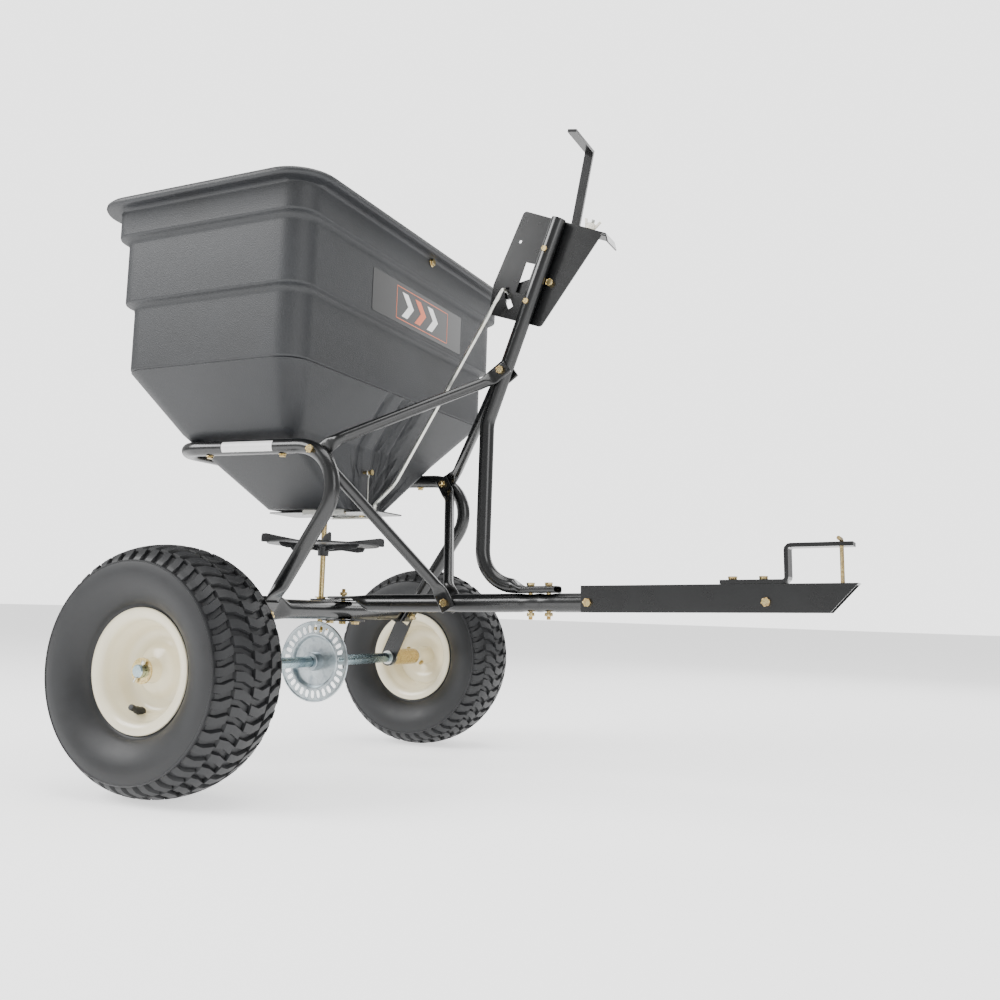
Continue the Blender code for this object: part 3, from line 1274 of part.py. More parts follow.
def make_cotter(name, y, axle, parent):
    radius = 0.0016
    up = Vector((0.5, 0, 0.866))
    centre = Vector((0, y, AXLE_Z))
    bore(axle, centre - up * 0.02, centre + up * 0.02, radius + BOLT_CLEARANCE, 8)
    stations = [(centre + up * w, up, r) for w, r in (
        (-0.019, radius * 0.8), (-0.018, radius), (0.012, radius), (0.0125, radius * 2),
        (0.017, radius * 2))]
    return node(name, rod_mesh(stations, 8), "bright_zinc", parent)


def make_drive_pin(axle, rim, parent):
    """Pin through the far wheel's hub and the axle, so that this wheel drives the gear."""
    y = TRACK / 2 - HUB_INNER + 0.010
    out = Vector((0.75, 0, -0.66)).normalized()
    centre = Vector((0, y, AXLE_Z))
    for piece in (axle, rim):
        bore(piece, centre - out * 0.03, centre + out * 0.03, M6 + BOLT_CLEARANCE)
    return bolt("drive_pin", centre + out * (HUB_R + GAP), centre - out * (HUB_R + GAP), M6, parent,
                spare=0.003)


def main():
    clear_scene()
    root = bpy.data.objects.new("machine_origin", None)
    bpy.context.collection.objects.link(root)
    root.location = (-MACHINE_CENTRE_X, 0, 0)

    upright = make_frame(root)
    hopper = make_hopper(root)
    make_gate_guide(root)
    make_gate(root)
    make_hanger(hopper, root)
    make_flow_control(root, upright)
    make_drive(root)

    plate_top = CROSS_Z + CROSS_R + GAP + CLAMP_PLATE
    inner, outer = SHAFT_R + RUNNING, SHAFT_BUSH_R
    bush("shaft_lower_bush", (0, 0, plate_top + 0.0004), (0, 0, 1), inner, outer, 0.0075,
         outer + 0.003, 0.002, root, "yellow_zinc")
    bush("shaft_upper_bush", (0, 0, HOPPER_BASE_Z + 0.003), (0, 0, 1), inner, outer, 0.011,
         outer + 0.003, 0.002, root, "yellow_zinc")


if __name__ == "__main__":
    main()
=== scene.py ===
"""Looks for a tow-behind broadcast spreader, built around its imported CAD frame."""

import json
import math

import bmesh
import bpy
from bpy.props import FloatProperty, IntProperty, PointerProperty, StringProperty
from mathutils import Matrix, Vector


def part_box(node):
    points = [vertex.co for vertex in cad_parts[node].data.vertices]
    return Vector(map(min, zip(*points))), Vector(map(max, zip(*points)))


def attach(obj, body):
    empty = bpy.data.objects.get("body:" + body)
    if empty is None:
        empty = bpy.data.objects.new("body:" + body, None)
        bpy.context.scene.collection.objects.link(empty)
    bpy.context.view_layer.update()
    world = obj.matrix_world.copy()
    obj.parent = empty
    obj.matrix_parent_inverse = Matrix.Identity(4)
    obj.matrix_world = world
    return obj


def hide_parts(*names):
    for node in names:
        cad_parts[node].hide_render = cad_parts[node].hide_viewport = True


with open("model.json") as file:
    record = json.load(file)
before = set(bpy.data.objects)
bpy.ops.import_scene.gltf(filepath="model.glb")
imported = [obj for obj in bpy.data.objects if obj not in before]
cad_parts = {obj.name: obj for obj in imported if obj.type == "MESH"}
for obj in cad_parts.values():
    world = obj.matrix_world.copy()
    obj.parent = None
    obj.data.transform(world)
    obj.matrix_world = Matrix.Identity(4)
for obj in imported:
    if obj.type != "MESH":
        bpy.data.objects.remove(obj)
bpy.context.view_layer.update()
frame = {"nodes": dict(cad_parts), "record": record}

bl_info = {
    "name": "Broadcast Spreader",
    "version": (1, 0, 0),
    "blender": (4, 5, 0),
    "location": "3D View > Sidebar > Spreader",
    "description": "Builds the visible pieces of a tow-behind broadcast spreader",
    "category": "Add Mesh",
}

NEAR, FAR = -1, 1
SIDES = (("near", NEAR), ("far", FAR))


# ---------------------------------------------------------------- places taken from the CAD
def centre_of(node):
    low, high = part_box(node)
    return (low + high) / 2


AXLE = centre_of("axle")
AXLE = Vector((AXLE.x, 0.0, AXLE.z))
AXLE_X = Vector((AXLE.x, 0, 0))


def at(x, y, z):
    """A point given from the axle line: x ahead of it, y to the left, z above the ground."""
    return Vector((AXLE.x + x, y, z))


# ---------------------------------------------------------------- settings
class HopperSettings(bpy.types.PropertyGroup):
    colour: StringProperty(name="Colour", description="Hopper colour, sRGB hex", default="17191c")
    wall: FloatProperty(name="Wall", description="Wall thickness", default=0.005, unit="LENGTH")
    corner_steps: IntProperty(name="Corner steps", description="Facets in a corner", default=10,
                              min=3, max=24)


class FrameSettings(bpy.types.PropertyGroup):
    colour: StringProperty(name="Colour", description="Powder coat, sRGB hex", default="08090a")
    roughness: FloatProperty(name="Roughness", description="Powder coat roughness", default=0.23,
                             min=0.0, max=1.0, subtype="FACTOR")


class WheelSettings(bpy.types.PropertyGroup):
    rim_colour: StringProperty(name="Rim colour", description="Enamel, sRGB hex",
                               default="ece3c6")
    tyre_colour: StringProperty(name="Tyre colour", description="Rubber, sRGB hex",
                                default="161719")
    lug_pitches: IntProperty(name="Lug pitches", description="Lugs round the tyre", default=46,
                             min=12, max=90)
    lug_height: FloatProperty(name="Lug height", description="Depth of the tread",
                              default=0.0055, unit="LENGTH")


class StageSettings(bpy.types.PropertyGroup):
    floor_colour: StringProperty(name="Floor colour", description="sRGB hex", default="ffffff")
    camera_azimuth: FloatProperty(name="Azimuth", description="Camera azimuth", unit="ROTATION",
                                  default=math.radians(25.52))
    camera_pitch: FloatProperty(name="Pitch", description="Camera looks up by", unit="ROTATION",
                                default=math.radians(6.28))
    camera_roll: FloatProperty(name="Roll", description="Camera roll", unit="ROTATION",
                               default=math.radians(1.73))
    lens: FloatProperty(name="Lens", description="Focal length in millimetres", default=36.09)


class SpreaderSettings(bpy.types.PropertyGroup):
    hopper: PointerProperty(type=HopperSettings)
    frame_tubes: PointerProperty(type=FrameSettings)
    wheels: PointerProperty(type=WheelSettings)
    stage: PointerProperty(type=StageSettings)


def settings():
    return bpy.context.scene.spreader


# ---------------------------------------------------------------- materials
def linear(hex_code):
    def channel(pair):
        value = int(pair, 16) / 255
        return value / 12.92 if value <= 0.04045 else ((value + 0.055) / 1.055) ** 2.4
    return tuple(channel(hex_code[i:i + 2]) for i in (0, 2, 4)) + (1.0,)


def add_node(tree, kind, links=(), **values):
    """Adds a node, sets its properties and sockets, and links (socket, source node, output)."""
    made = tree.nodes.new(kind)
    for key, value in values.items():
        name = key.replace("_", " ")
        if hasattr(made, key) and not any(s.name == name for s in made.inputs):
            setattr(made, key, value)
        else:
            next(s for s in made.inputs if s.name.lower() == name.lower()).default_value = value
    for socket, source, output in links:
        tree.links.new(source.outputs[output], made.inputs[socket])
    return made


def set_ramp(ramp, stops):
    elements = ramp.color_ramp.elements
    while len(elements) < len(stops):
        elements.new(0.5)
    for element, (place, colour) in zip(elements, stops):
        element.position = place
        element.color = colour


def start_material(name):
    """A named material with its Principled shader, node tree and object coordinates."""
    made = bpy.data.materials.new(name)
    made.use_nodes = True
    tree = made.node_tree
    shader = next(n for n in tree.nodes if n.type == "BSDF_PRINCIPLED")
    coords = add_node(tree, "ShaderNodeTexCoord")
    return made, tree, shader, coords


def tint(hex_code, gain):
    r, g, b, a = linear(hex_code)
    return (min(r * gain, 1), min(g * gain, 1), min(b * gain, 1), a)


def tinted(hex_code, *stops):
    """Ramp stops (place, gain) of one colour."""
    return [(place, tint(hex_code, gain)) for place, gain in stops]


def add_bump(tree, shader, source, output, strength, distance):
    bump = add_node(tree, "ShaderNodeBump", [("Height", source, output)], Strength=strength,
                    Distance=distance)
    tree.links.new(bump.outputs["Normal"], shader.inputs["Normal"])


def per_metre(millimetres):
    """Noise scale whose features are about this wide."""
    return 1000.0 / millimetres


def add_noise(tree, coords, millimetres, **values):
    return add_node(tree, "ShaderNodeTexNoise", [("Vector", coords, "Object")],
                    Scale=per_metre(millimetres), **values)


def colour_by(tree, shader, source, stops, output="Fac"):
    """Base colour from a ramp over a texture."""
    ramp = add_node(tree, "ShaderNodeValToRGB", [("Fac", source, output)])
    set_ramp(ramp, stops)
    tree.links.new(ramp.outputs["Color"], shader.inputs["Base Color"])


def roughness_by(tree, shader, source, low, high):
    haze = add_node(tree, "ShaderNodeMapRange", [("Value", source, "Fac")], To_Min=low,
                    To_Max=high)
    tree.links.new(haze.outputs["Result"], shader.inputs["Roughness"])


def set_inputs(shader, **values):
    for key, value in values.items():
        shader.inputs[key.replace("_", " ")].default_value = value


def powder_coat():
    """Gloss black polyester powder coat on steel tube: a wet-looking skin over fine orange peel."""
    chosen = settings().frame_tubes
    made, tree, shader, coords = start_material("gloss_black_powder_coat_on_steel")
    cloud = add_noise(tree, coords, 45, Detail=4.0, Roughness=0.55)
    colour_by(tree, shader, cloud, tinted(chosen.colour, (0.35, 0.9), (0.7, 1.25)))
    roughness_by(tree, shader, cloud, chosen.roughness, chosen.roughness + 0.10)
    peel = add_noise(tree, coords, 1.8, Detail=2.0)
    add_bump(tree, shader, peel, "Fac", 0.10, 0.0004)
    set_inputs(shader, IOR=1.52, Coat_Weight=0.35, Coat_Roughness=0.08)
    return made


def hopper_poly():
    """Injection-moulded black polyethylene with a spark-eroded grain: soft sheen, pale speckle."""
    chosen = settings().hopper
    made, tree, shader, coords = start_material("grained_black_polyethylene")
    cloud = add_noise(tree, coords, 160, Detail=3.0)
    speck = add_noise(tree, coords, 1.3, Detail=1.0)
    mixed = add_node(tree, "ShaderNodeMath", [(0, cloud, "Fac"), (1, speck, "Fac")],
                     operation="MULTIPLY")
    colour_by(tree, shader, mixed, tinted(chosen.colour, (0.12, 0.75), (0.42, 1.7)), "Value")
    roughness_by(tree, shader, speck, 0.42, 0.60)
    grain = add_node(tree, "ShaderNodeTexVoronoi", [("Vector", coords, "Object")],
                     Scale=per_metre(1.7))
    add_bump(tree, shader, grain, "Distance", 0.35, 0.0008)
    set_inputs(shader, IOR=1.51, Specular_IOR_Level=0.6)
    return made


def tyre_rubber():
    """Moulded black tyre rubber: matt, a little brown-grey bloom on the raised faces."""
    chosen = settings().wheels
    made, tree, shader, coords = start_material("moulded_tyre_rubber")
    bloom = add_noise(tree, coords, 30, Detail=5.0, Roughness=0.6)
    colour_by(tree, shader, bloom, tinted(chosen.tyre_colour, (0.32, 0.75), (0.72, 1.35)))
    fine = add_noise(tree, coords, 1.5, Detail=3.0)
    roughness_by(tree, shader, bloom, 0.42, 0.62)
    add_bump(tree, shader, fine, "Fac", 0.18, 0.0004)
    set_inputs(shader, IOR=1.52)
    return made


def rim_enamel():
    """Cream enamel sprayed on pressed steel: glossy, warmer where it pools."""
    chosen = settings().wheels
    made, tree, shader, coords = start_material("cream_enamel_on_pressed_steel")
    cloud = add_noise(tree, coords, 60, Detail=3.0)
    colour_by(tree, shader, cloud, tinted(chosen.rim_colour, (0.3, 0.93), (0.75, 1.04)))
    peel = add_noise(tree, coords, 2.5, Detail=2.0)
    roughness_by(tree, shader, peel, 0.20, 0.30)
    add_bump(tree, shader, peel, "Fac", 0.06, 0.0004)
    set_inputs(shader, IOR=1.52, Coat_Weight=0.3, Coat_Roughness=0.06)
    return made


def plated_steel(name, stops, low, high, patch_mm, grain_mm):
    """Electroplated steel: metal whose colour drifts between stops over patches."""
    made, tree, shader, coords = start_material(name)
    drift = add_noise(tree, coords, patch_mm, Detail=3.0, Distortion=0.6)
    colour_by(tree, shader, drift, [(place, linear(code)) for place, code in stops])
    grain = add_noise(tree, coords, grain_mm, Detail=4.0)
    roughness_by(tree, shader, grain, low, high)
    add_bump(tree, shader, grain, "Fac", 0.08, 0.0003)
    set_inputs(shader, Metallic=1.0)
    return made


def moulded_nylon(name, hex_code, low, high):
    """Glass-filled nylon from a polished mould: dull sheen with faint flow marks."""
    made, tree, shader, coords = start_material(name)
    flow = add_noise(tree, coords, 25, Detail=4.0, Distortion=1.0)
    colour_by(tree, shader, flow, tinted(hex_code, (0.3, 0.88), (0.75, 1.15)))
    roughness_by(tree, shader, flow, low, high)
    add_bump(tree, shader, flow, "Fac", 0.05, 0.0005)
    set_inputs(shader, IOR=1.53)
    return made


def printed_vinyl(name, hex_code):
    """Printed vinyl film: flat ink under a smooth clear face."""
    made, tree, shader, coords = start_material(name)
    ink = add_noise(tree, coords, 12, Detail=2.0)
    colour_by(tree, shader, ink, tinted(hex_code, (0.3, 0.96), (0.7, 1.04)))
    set_inputs(shader, Roughness=0.30, IOR=1.50)
    return made


FINISHES = {
    "black_paint": powder_coat,
    "black_poly": hopper_poly,
    "rubber": tyre_rubber,
    "cream_paint": rim_enamel,
    "bright_zinc": lambda: plated_steel(
        "clear_zinc_on_steel", [(0.30, "b9bcb8"), (0.55, "d6d6cf"), (0.75, "c7c2b2")],
        0.22, 0.40, 18, 1.6),
    "yellow_zinc": lambda: plated_steel(
        "yellow_zinc_on_steel",
        [(0.28, "a08a56"), (0.45, "d6c48e"), (0.58, "c0a474"), (0.72, "b2a680")],
        0.20, 0.36, 7, 1.2),
    "gear_zinc": lambda: plated_steel(
        "blued_zinc_on_pressed_steel", [(0.30, "8b949a"), (0.55, "b2babd"), (0.75, "9ea6a9")],
        0.24, 0.40, 16, 1.6),
    "axle_steel": lambda: plated_steel(
        "blue_zinc_on_steel", [(0.30, "7f979d"), (0.52, "a9bcc0"), (0.72, "95aab4")],
        0.18, 0.32, 22, 1.5),
    "black_nylon": lambda: moulded_nylon("moulded_black_nylon", "232426", 0.38, 0.50),
    "white_nylon": lambda: moulded_nylon("moulded_white_nylon", "e7e2d3", 0.38, 0.48),
    "decal_black": lambda: printed_vinyl("decal_black_vinyl", "0d0e0f"),
    "decal_orange": lambda: printed_vinyl("decal_orange_vinyl", "d5622d"),
    "decal_white": lambda: printed_vinyl("decal_white_vinyl", "f0f0ee"),
}
made_finishes = {}


def finish(name):
    if name not in made_finishes:
        made_finishes[name] = FINISHES[name]()
    return made_finishes[name]


# ---------------------------------------------------------------- mesh helpers
def piece(name, bm, finish_name, body, replaced=(), sharp_deg=35):
    """Turns a mesh into a piece that rides on a body and stands for the replaced nodes."""
    bmesh.ops.recalc_face_normals(bm, faces=bm.faces)
    mesh = bpy.data.meshes.new(name)
    bm.to_mesh(mesh)
    bm.free()
    mesh.shade_smooth()
    mesh.set_sharp_from_angle(angle=math.radians(sharp_deg))
    made = bpy.data.objects.new(name, mesh)
    bpy.context.scene.collection.objects.link(made)
    made.data.materials.append(finish(finish_name))
    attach(made, body)
    if replaced:
        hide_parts(*replaced)
    return made


EDGE_SEGMENTS, EDGE_ANGLE = 3, math.radians(35)


def bevel(obj, width):
    """Rounds the edges of a piece and keeps its shading clean."""
    edge = obj.modifiers.new("edge", "BEVEL")
    edge.width = width
    edge.segments = EDGE_SEGMENTS
    edge.limit_method = "ANGLE"
    edge.angle_limit = EDGE_ANGLE
    edge.harden_normals = True


def bridge(bm, lower, upper):
    count = len(lower)
    for i in range(count):
        j = (i + 1) % count
        bm.faces.new((lower[i], lower[j], upper[j], upper[i]))


def loft(rings, closed=False, bm=None):
    bm = bm or bmesh.new()
    made = [[bm.verts.new(p) for p in ring] for ring in rings]
    for lower, upper in zip(made, made[1:]):
        bridge(bm, lower, upper)
    if closed:
        bridge(bm, made[-1], made[0])
    else:
        bm.faces.new(list(reversed(made[0])))
        bm.faces.new(made[-1])
    return bm


def basis(direction, hint=Vector((0, 0, 1))):
    direction = direction.normalized()
    side = hint - direction * hint.dot(direction)
    if side.length < 1e-6:
        side = Vector((1, 0, 0)) - direction * direction.x
    side.normalize()
    return side.cross(direction).normalized(), side


def turned(profile, segments, axis, centre):
    """A closed (radius, along) outline spun about an axis."""
    axis = Vector(axis).normalized()
    across, side = basis(axis)
    bm = bmesh.new()
    columns = []
    for k in range(segments):
        turn = math.tau * k / segments
        out = side * math.cos(turn) + across * math.sin(turn)
        columns.append([bm.verts.new(centre + out * r + axis * w) for r, w in profile])
    for k in range(segments):
        bridge(bm, columns[k], columns[(k + 1) % segments])
    return bm


# ---------------------------------------------------------------- hopper
HOPPER_LEVELS = (
    # height, rear, front, half width, corner radius
    (0.465, -0.085, 0.085, 0.070, 0.014),
    (0.580, -0.152, 0.101, 0.2405, 0.030),
    (0.6748, -0.199, 0.163, 0.332, 0.042),
    (0.7895, -0.210, 0.174, 0.343, 0.042),
    (0.902, -0.221, 0.185, 0.354, 0.042),
)
HOPPER_TOP = 0.962
RIM_OUT = 0.0255
RIM_DEPTH = 0.014
BAND_TUCK, BAND_ROUND = 0.0022, 0.004
SIDE_STEPS, FRONT_STEPS = 14, 126
PORT_HALF, PORT_Y, PORT_HALF_LENGTH = 0.012, 0.030, 0.014
SHAFT_HOLE_HALF = 0.0088
FLOOR_CUT = (0.45, 0.48)
FLUTES = ((-0.043, 0.010), (0.010, 0.011), (0.034, 0.011), (0.064, 0.010))
FLUTE_DEPTH = 0.010


def hopper_outline(z, rear, front, half, corner, inset=0.0, fluted=0.0):
    """Rounded rectangle ring with points along its sides, so the front can carry flutes."""
    rear, front, half = rear + inset, front - inset, half - inset
    corner = max(corner - inset, 0.004)
    steps = settings().hopper.corner_steps
    corners = ((front - corner, -half + corner, -90), (front - corner, half - corner, 0),
               (rear + corner, half - corner, 90), (rear + corner, -half + corner, 180))
    ring = []
    for i, (cx, cy, start) in enumerate(corners):
        for k in range(steps + 1):
            turn = math.radians(start + 90 * k / steps)
            ring.append(Vector((cx + corner * math.cos(turn), cy + corner * math.sin(turn), z)))
        nx, ny, following = corners[(i + 1) % 4]
        turn = math.radians(following)
        goal = Vector((nx + corner * math.cos(turn), ny + corner * math.sin(turn), z))
        count = FRONT_STEPS if i == 0 else SIDE_STEPS
        begin = ring[-1].copy()
        for k in range(1, count):
            point = begin.lerp(goal, k / count)
            if i == 0 and fluted:
                point.x -= fluted * flute_depth(point.y)
            ring.append(point)
    return [at(p.x, p.y, p.z) for p in ring]


def flute_depth(y):
    depth = 0.0
    for middle, half in FLUTES:
        reach = abs(y - middle) / half
        if reach < 1:
            depth = max(depth, min(1.0, (1 - reach) * 3))
    return depth * FLUTE_DEPTH


def between(low, high, share):
    return tuple(a + (b - a) * share for a, b in zip(low, high))


def hopper_rings():
    """Outer skin from the base up, with rounded steps between the bands."""
    base, knee, *bands = HOPPER_LEVELS
    rings = []
    for share in (0, 0.015, 0.05, 0.2, 0.5, 0.8, 0.97, 1.0):
        rings.append((between(base, knee, share), min(1.0, share * 4)))
    first = bands[0]
    for share in (0.03, 0.2, 0.45, 0.7, 0.9, 0.985):
        rings.append((between(knee, first, share), min(1.0, (1 - share) * 6)))
    tuck = BAND_TUCK
    for i, band in enumerate(bands):
        z, r, f, w, c = band
        rings.append(((z, r + tuck, f - tuck, w - tuck, c), 0))
        rings.append(((z + 0.0015, r + tuck * 0.25, f - tuck * 0.25, w - tuck * 0.25, c), 0))
        rings.append(((z + BAND_ROUND, r, f, w, c), 0))
        top = bands[i + 1][0] if i + 1 < len(bands) else HOPPER_TOP - RIM_DEPTH
        if i + 1 < len(bands):
            rings.append(((top - 0.012, r, f, w, c), 0))
            rings.append(((top - 0.005, r - 0.0012, f + 0.0012, w + 0.0012, c), 0))
            rings.append(((top - 0.0012, r - 0.0062, f + 0.0062, w + 0.0062, c), 0))
        else:
            rings.append(((top - 0.004, r, f, w, c), 0))
    return rings


def rim_rings(last):
    """Rolled rim: out under the lip, round its edge and in over the top."""
    z, r, f, w, c = last
    rings = []
    for out, height, grow in ((0.002, -RIM_DEPTH - 0.001, 0.2), (0.010, -RIM_DEPTH + 0.001, 0.6),
                              (0.020, -RIM_DEPTH, 0.9), (0.0240, -RIM_DEPTH + 0.0015, 1.0),
                              (RIM_OUT, -RIM_DEPTH + 0.005, 1.0), (RIM_OUT - 0.0006, -0.0055, 1.0),
                              (RIM_OUT - 0.004, -0.0015, 1.0), (RIM_OUT - 0.010, 0.0, 0.9),
                              (0.006, 0.0, 0.4), (0.0, -0.002, 0.2), (-0.004, -0.008, 0.0)):
        rings.append((HOPPER_TOP + height, r - out, f + out, w + out, c + RIM_OUT * grow))
    return rings


class SPREADER_OT_hopper(bpy.types.Operator):
    """Hopper with rolled rim, stepped bands, flutes and grained skin"""
    bl_idname = "spreader.hopper"
    bl_label = "Hopper"

    def execute(self, context):
        wall = settings().hopper.wall
        rings = [hopper_outline(*level, fluted=fluted) for level, fluted in hopper_rings()]
        bands = HOPPER_LEVELS[2:]
        rings += [hopper_outline(*level) for level in rim_rings(bands[-1])]
        for i in range(len(bands) - 1, -1, -1):
            z, r, f, w, c = bands[i]
            if i == len(bands) - 1:
                rings.append(hopper_outline(HOPPER_TOP - 0.030, r, f, w, c, wall))
            else:
                rings.append(hopper_outline(bands[i + 1][0] - 0.002, r, f, w, c, wall))
            rings.append(hopper_outline(z + 0.003, r, f, w, c, wall))
        z, r, f, w, c = HOPPER_LEVELS[1]
        rings.append(hopper_outline(z + 0.003, r, f, w, c, wall * 1.3))
        z, r, f, w, c = HOPPER_LEVELS[0]
        rings.append(hopper_outline(z + wall, r, f, w, c, wall * 1.3))
        made = piece("hopper_shell", loft(rings), "black_poly", "frame", ("hopper",), sharp_deg=50)
        low, high = FLOOR_CUT
        for y, half_x, half_y in ((NEAR * PORT_Y, PORT_HALF, PORT_HALF_LENGTH),
                                  (FAR * PORT_Y, PORT_HALF, PORT_HALF_LENGTH),
                                  (0.0, SHAFT_HOLE_HALF, SHAFT_HOLE_HALF)):
            cut_box(made, at(-half_x, y - half_y, low), at(half_x, y + half_y, high))
        return {"FINISHED"}


def cut_box(target, low, high):
    bm = bmesh.new()
    bmesh.ops.create_cube(bm, size=1.0)
    bmesh.ops.scale(bm, vec=high - low, verts=bm.verts)
    bmesh.ops.translate(bm, vec=(high + low) / 2, verts=bm.verts)
    cut_out(target, bm)


def cut_out(target, bm):
    """Takes a mesh out of a piece and leaves no modifier behind."""
    mesh = bpy.data.meshes.new("cut")
    bm.to_mesh(mesh)
    bm.free()
    tool = bpy.data.objects.new("cut", mesh)
    bpy.context.scene.collection.objects.link(tool)
    cut = target.modifiers.new("cut", "BOOLEAN")
    cut.operation = "DIFFERENCE"
    cut.solver = "EXACT"
    cut.object = tool
    depsgraph = bpy.context.evaluated_depsgraph_get()
    solved = bpy.data.meshes.new_from_object(target.evaluated_get(depsgraph))
    target.modifiers.remove(cut)
    old = target.data
    target.data = solved
    bpy.data.meshes.remove(old)
    bpy.data.objects.remove(tool, do_unlink=True)


# ---------------------------------------------------------------- wheels
TYRE_R = 0.188
TYRE_HALF = 0.0785
TRACK_HALF = 0.393
CROWN_FOOT, CROWN_TURN = 0.1125, math.radians(62)
TREAD_STEPS, TURNED_STEPS = 24, 96
TREAD_FOOT = 0.1600


class SPREADER_OT_tyres(bpy.types.Operator):
    """Turf tyres with zig-zag lugs"""
    bl_idname = "spreader.tyres"
    bl_label = "Tyres"

    def execute(self, context):
        for label, side in SIDES:
            build_tyre(label, side)
        return {"FINISHED"}


def crown(share):
    """Tyre surface at share of the way across the tread, -1 to 1: (radius, offset)."""
    reach = abs(share)
    turn = reach * CROWN_TURN
    radius = CROWN_FOOT + (TYRE_R - CROWN_FOOT) * math.cos(turn) ** 0.55
    offset = TYRE_HALF * 0.985 * math.sin(turn) ** 0.95 / math.sin(CROWN_TURN) ** 0.95
    return radius, math.copysign(offset, share) * 0.93


def build_tyre(label, side):
    chosen = settings().wheels
    body = "near_wheel" if side == NEAR else "axle"
    centre = at(0, side * TRACK_HALF, AXLE.z)
    depth = chosen.lug_height
    outline = [(0.0778, 0.0475), (0.0805, 0.0478), (0.0945, 0.0480), (0.0975, 0.0500),
               (0.0990, 0.0545), (0.1040, 0.0600), (0.1150, 0.0690), (0.1290, 0.0755),
               (0.1420, 0.0783), (0.1520, 0.0780), (0.1590, 0.0762), (0.1600, 0.0772),
               (0.1612, 0.0758)]
    tread = []
    for k in range(TREAD_STEPS + 1):
        radius, offset = crown(1 - 2 * k / TREAD_STEPS)
        if radius - depth > TREAD_FOOT:
            tread.append((radius - depth, offset * 0.98))
    profile = outline + tread + [(r, -y) for r, y in reversed(outline)]
    inside = [(0.0778, -0.0405), (0.0990, -0.0455), (0.1290, -0.0680), (0.1600, -0.0650),
              (0.1740, -0.0400), (0.1760, 0.0), (0.1740, 0.0400), (0.1600, 0.0650),
              (0.1290, 0.0680), (0.0990, 0.0455), (0.0778, 0.0405)]
    bm = turned(profile + inside, TURNED_STEPS, (0, 1, 0), centre)
    add_lugs(bm, centre, depth, chosen.lug_pitches)
    piece(f"{label}_tyre_tread", bm, "rubber", body, (f"{label}_tyre",), sharp_deg=38)


LUG_ROWS = (
    # inner and outer share of the tread, then in pitches: shift at each end, width of a lug
    (-1.02, -0.62, 0.16, -0.12, 0.62),
    (-0.58, -0.22, -0.10, 0.30, 0.64),
    (-0.18, 0.18, 0.32, 0.32, 0.62),
    (0.22, 0.58, 0.30, -0.10, 0.64),
    (0.62, 1.02, -0.12, 0.16, 0.62),
)


def add_lugs(bm, centre, depth, pitches):
    """Rows of chevron lugs, each a raised block, with every other row half a pitch on."""
    step = math.tau / pitches
    for row, (inner, outer, bend_in, bend_out, width) in enumerate(LUG_ROWS):
        for k in range(pitches):
            base = k * step + (0.5 * step if row % 2 else 0)
            lug(bm, centre, depth, inner, outer, base, bend_in * step, bend_out * step,
                width * step, row)


def tread_point(centre, share, turn, lift):
    radius, offset = crown(max(-1.0, min(1.0, share)))
    extra = abs(share) - 1.0
    if extra > 0:
        radius -= extra * 0.045
        offset += math.copysign(extra * 0.012, share)
    return centre + Vector((math.sin(turn) * (radius + lift), offset,
                            math.cos(turn) * (radius + lift)))


def lug(bm, centre, depth, inner, outer, base, bend_in, bend_out, width, row):
    """One lug: a bent bar of four spans, wider and longer at its foot than at its top."""
    spans = 4
    tops, feet = [], []
    kink = width * (0.35 if row == 2 else 0.22)
    for k in range(spans + 1):
        share = inner + (outer - inner) * k / spans
        slide = bend_in + (bend_out - bend_in) * k / spans
        slide += kink * (1 - abs(2 * k / spans - 1)) * (1 if row in (0, 4, 2) else -1)
        for store, half, lift in ((tops, width * 0.42, 0.0), (feet, width * 0.56, -depth * 1.25)):
            grow = 0.012 if store is feet else 0.0
            end = share + (-grow if k == 0 else grow if k == spans else 0)
            store.append((tread_point(centre, end, base + slide - half, lift),
                          tread_point(centre, end, base + slide + half, lift)))
    ring_top = [a for a, _ in tops] + [b for _, b in reversed(tops)]
    ring_foot = [a for a, _ in feet] + [b for _, b in reversed(feet)]
    low = [bm.verts.new(p) for p in ring_foot]
    high = [bm.verts.new(p) for p in ring_top]
    bridge(bm, low, high)
    total = len(high)
    for k in range(spans):
        bm.faces.new((high[k], high[k + 1], high[total - 2 - k], high[total - 1 - k]))
        bm.faces.new((low[total - 1 - k], low[total - 2 - k], low[k + 1], low[k]))


class SPREADER_OT_rims(bpy.types.Operator):
    """Cream pressed rims with hub tube and valve stem"""
    bl_idname = "spreader.rims"
    bl_label = "Rims"

    def execute(self, context):
        for label, side in SIDES:
            build_rim(label, side)
        return {"FINISHED"}


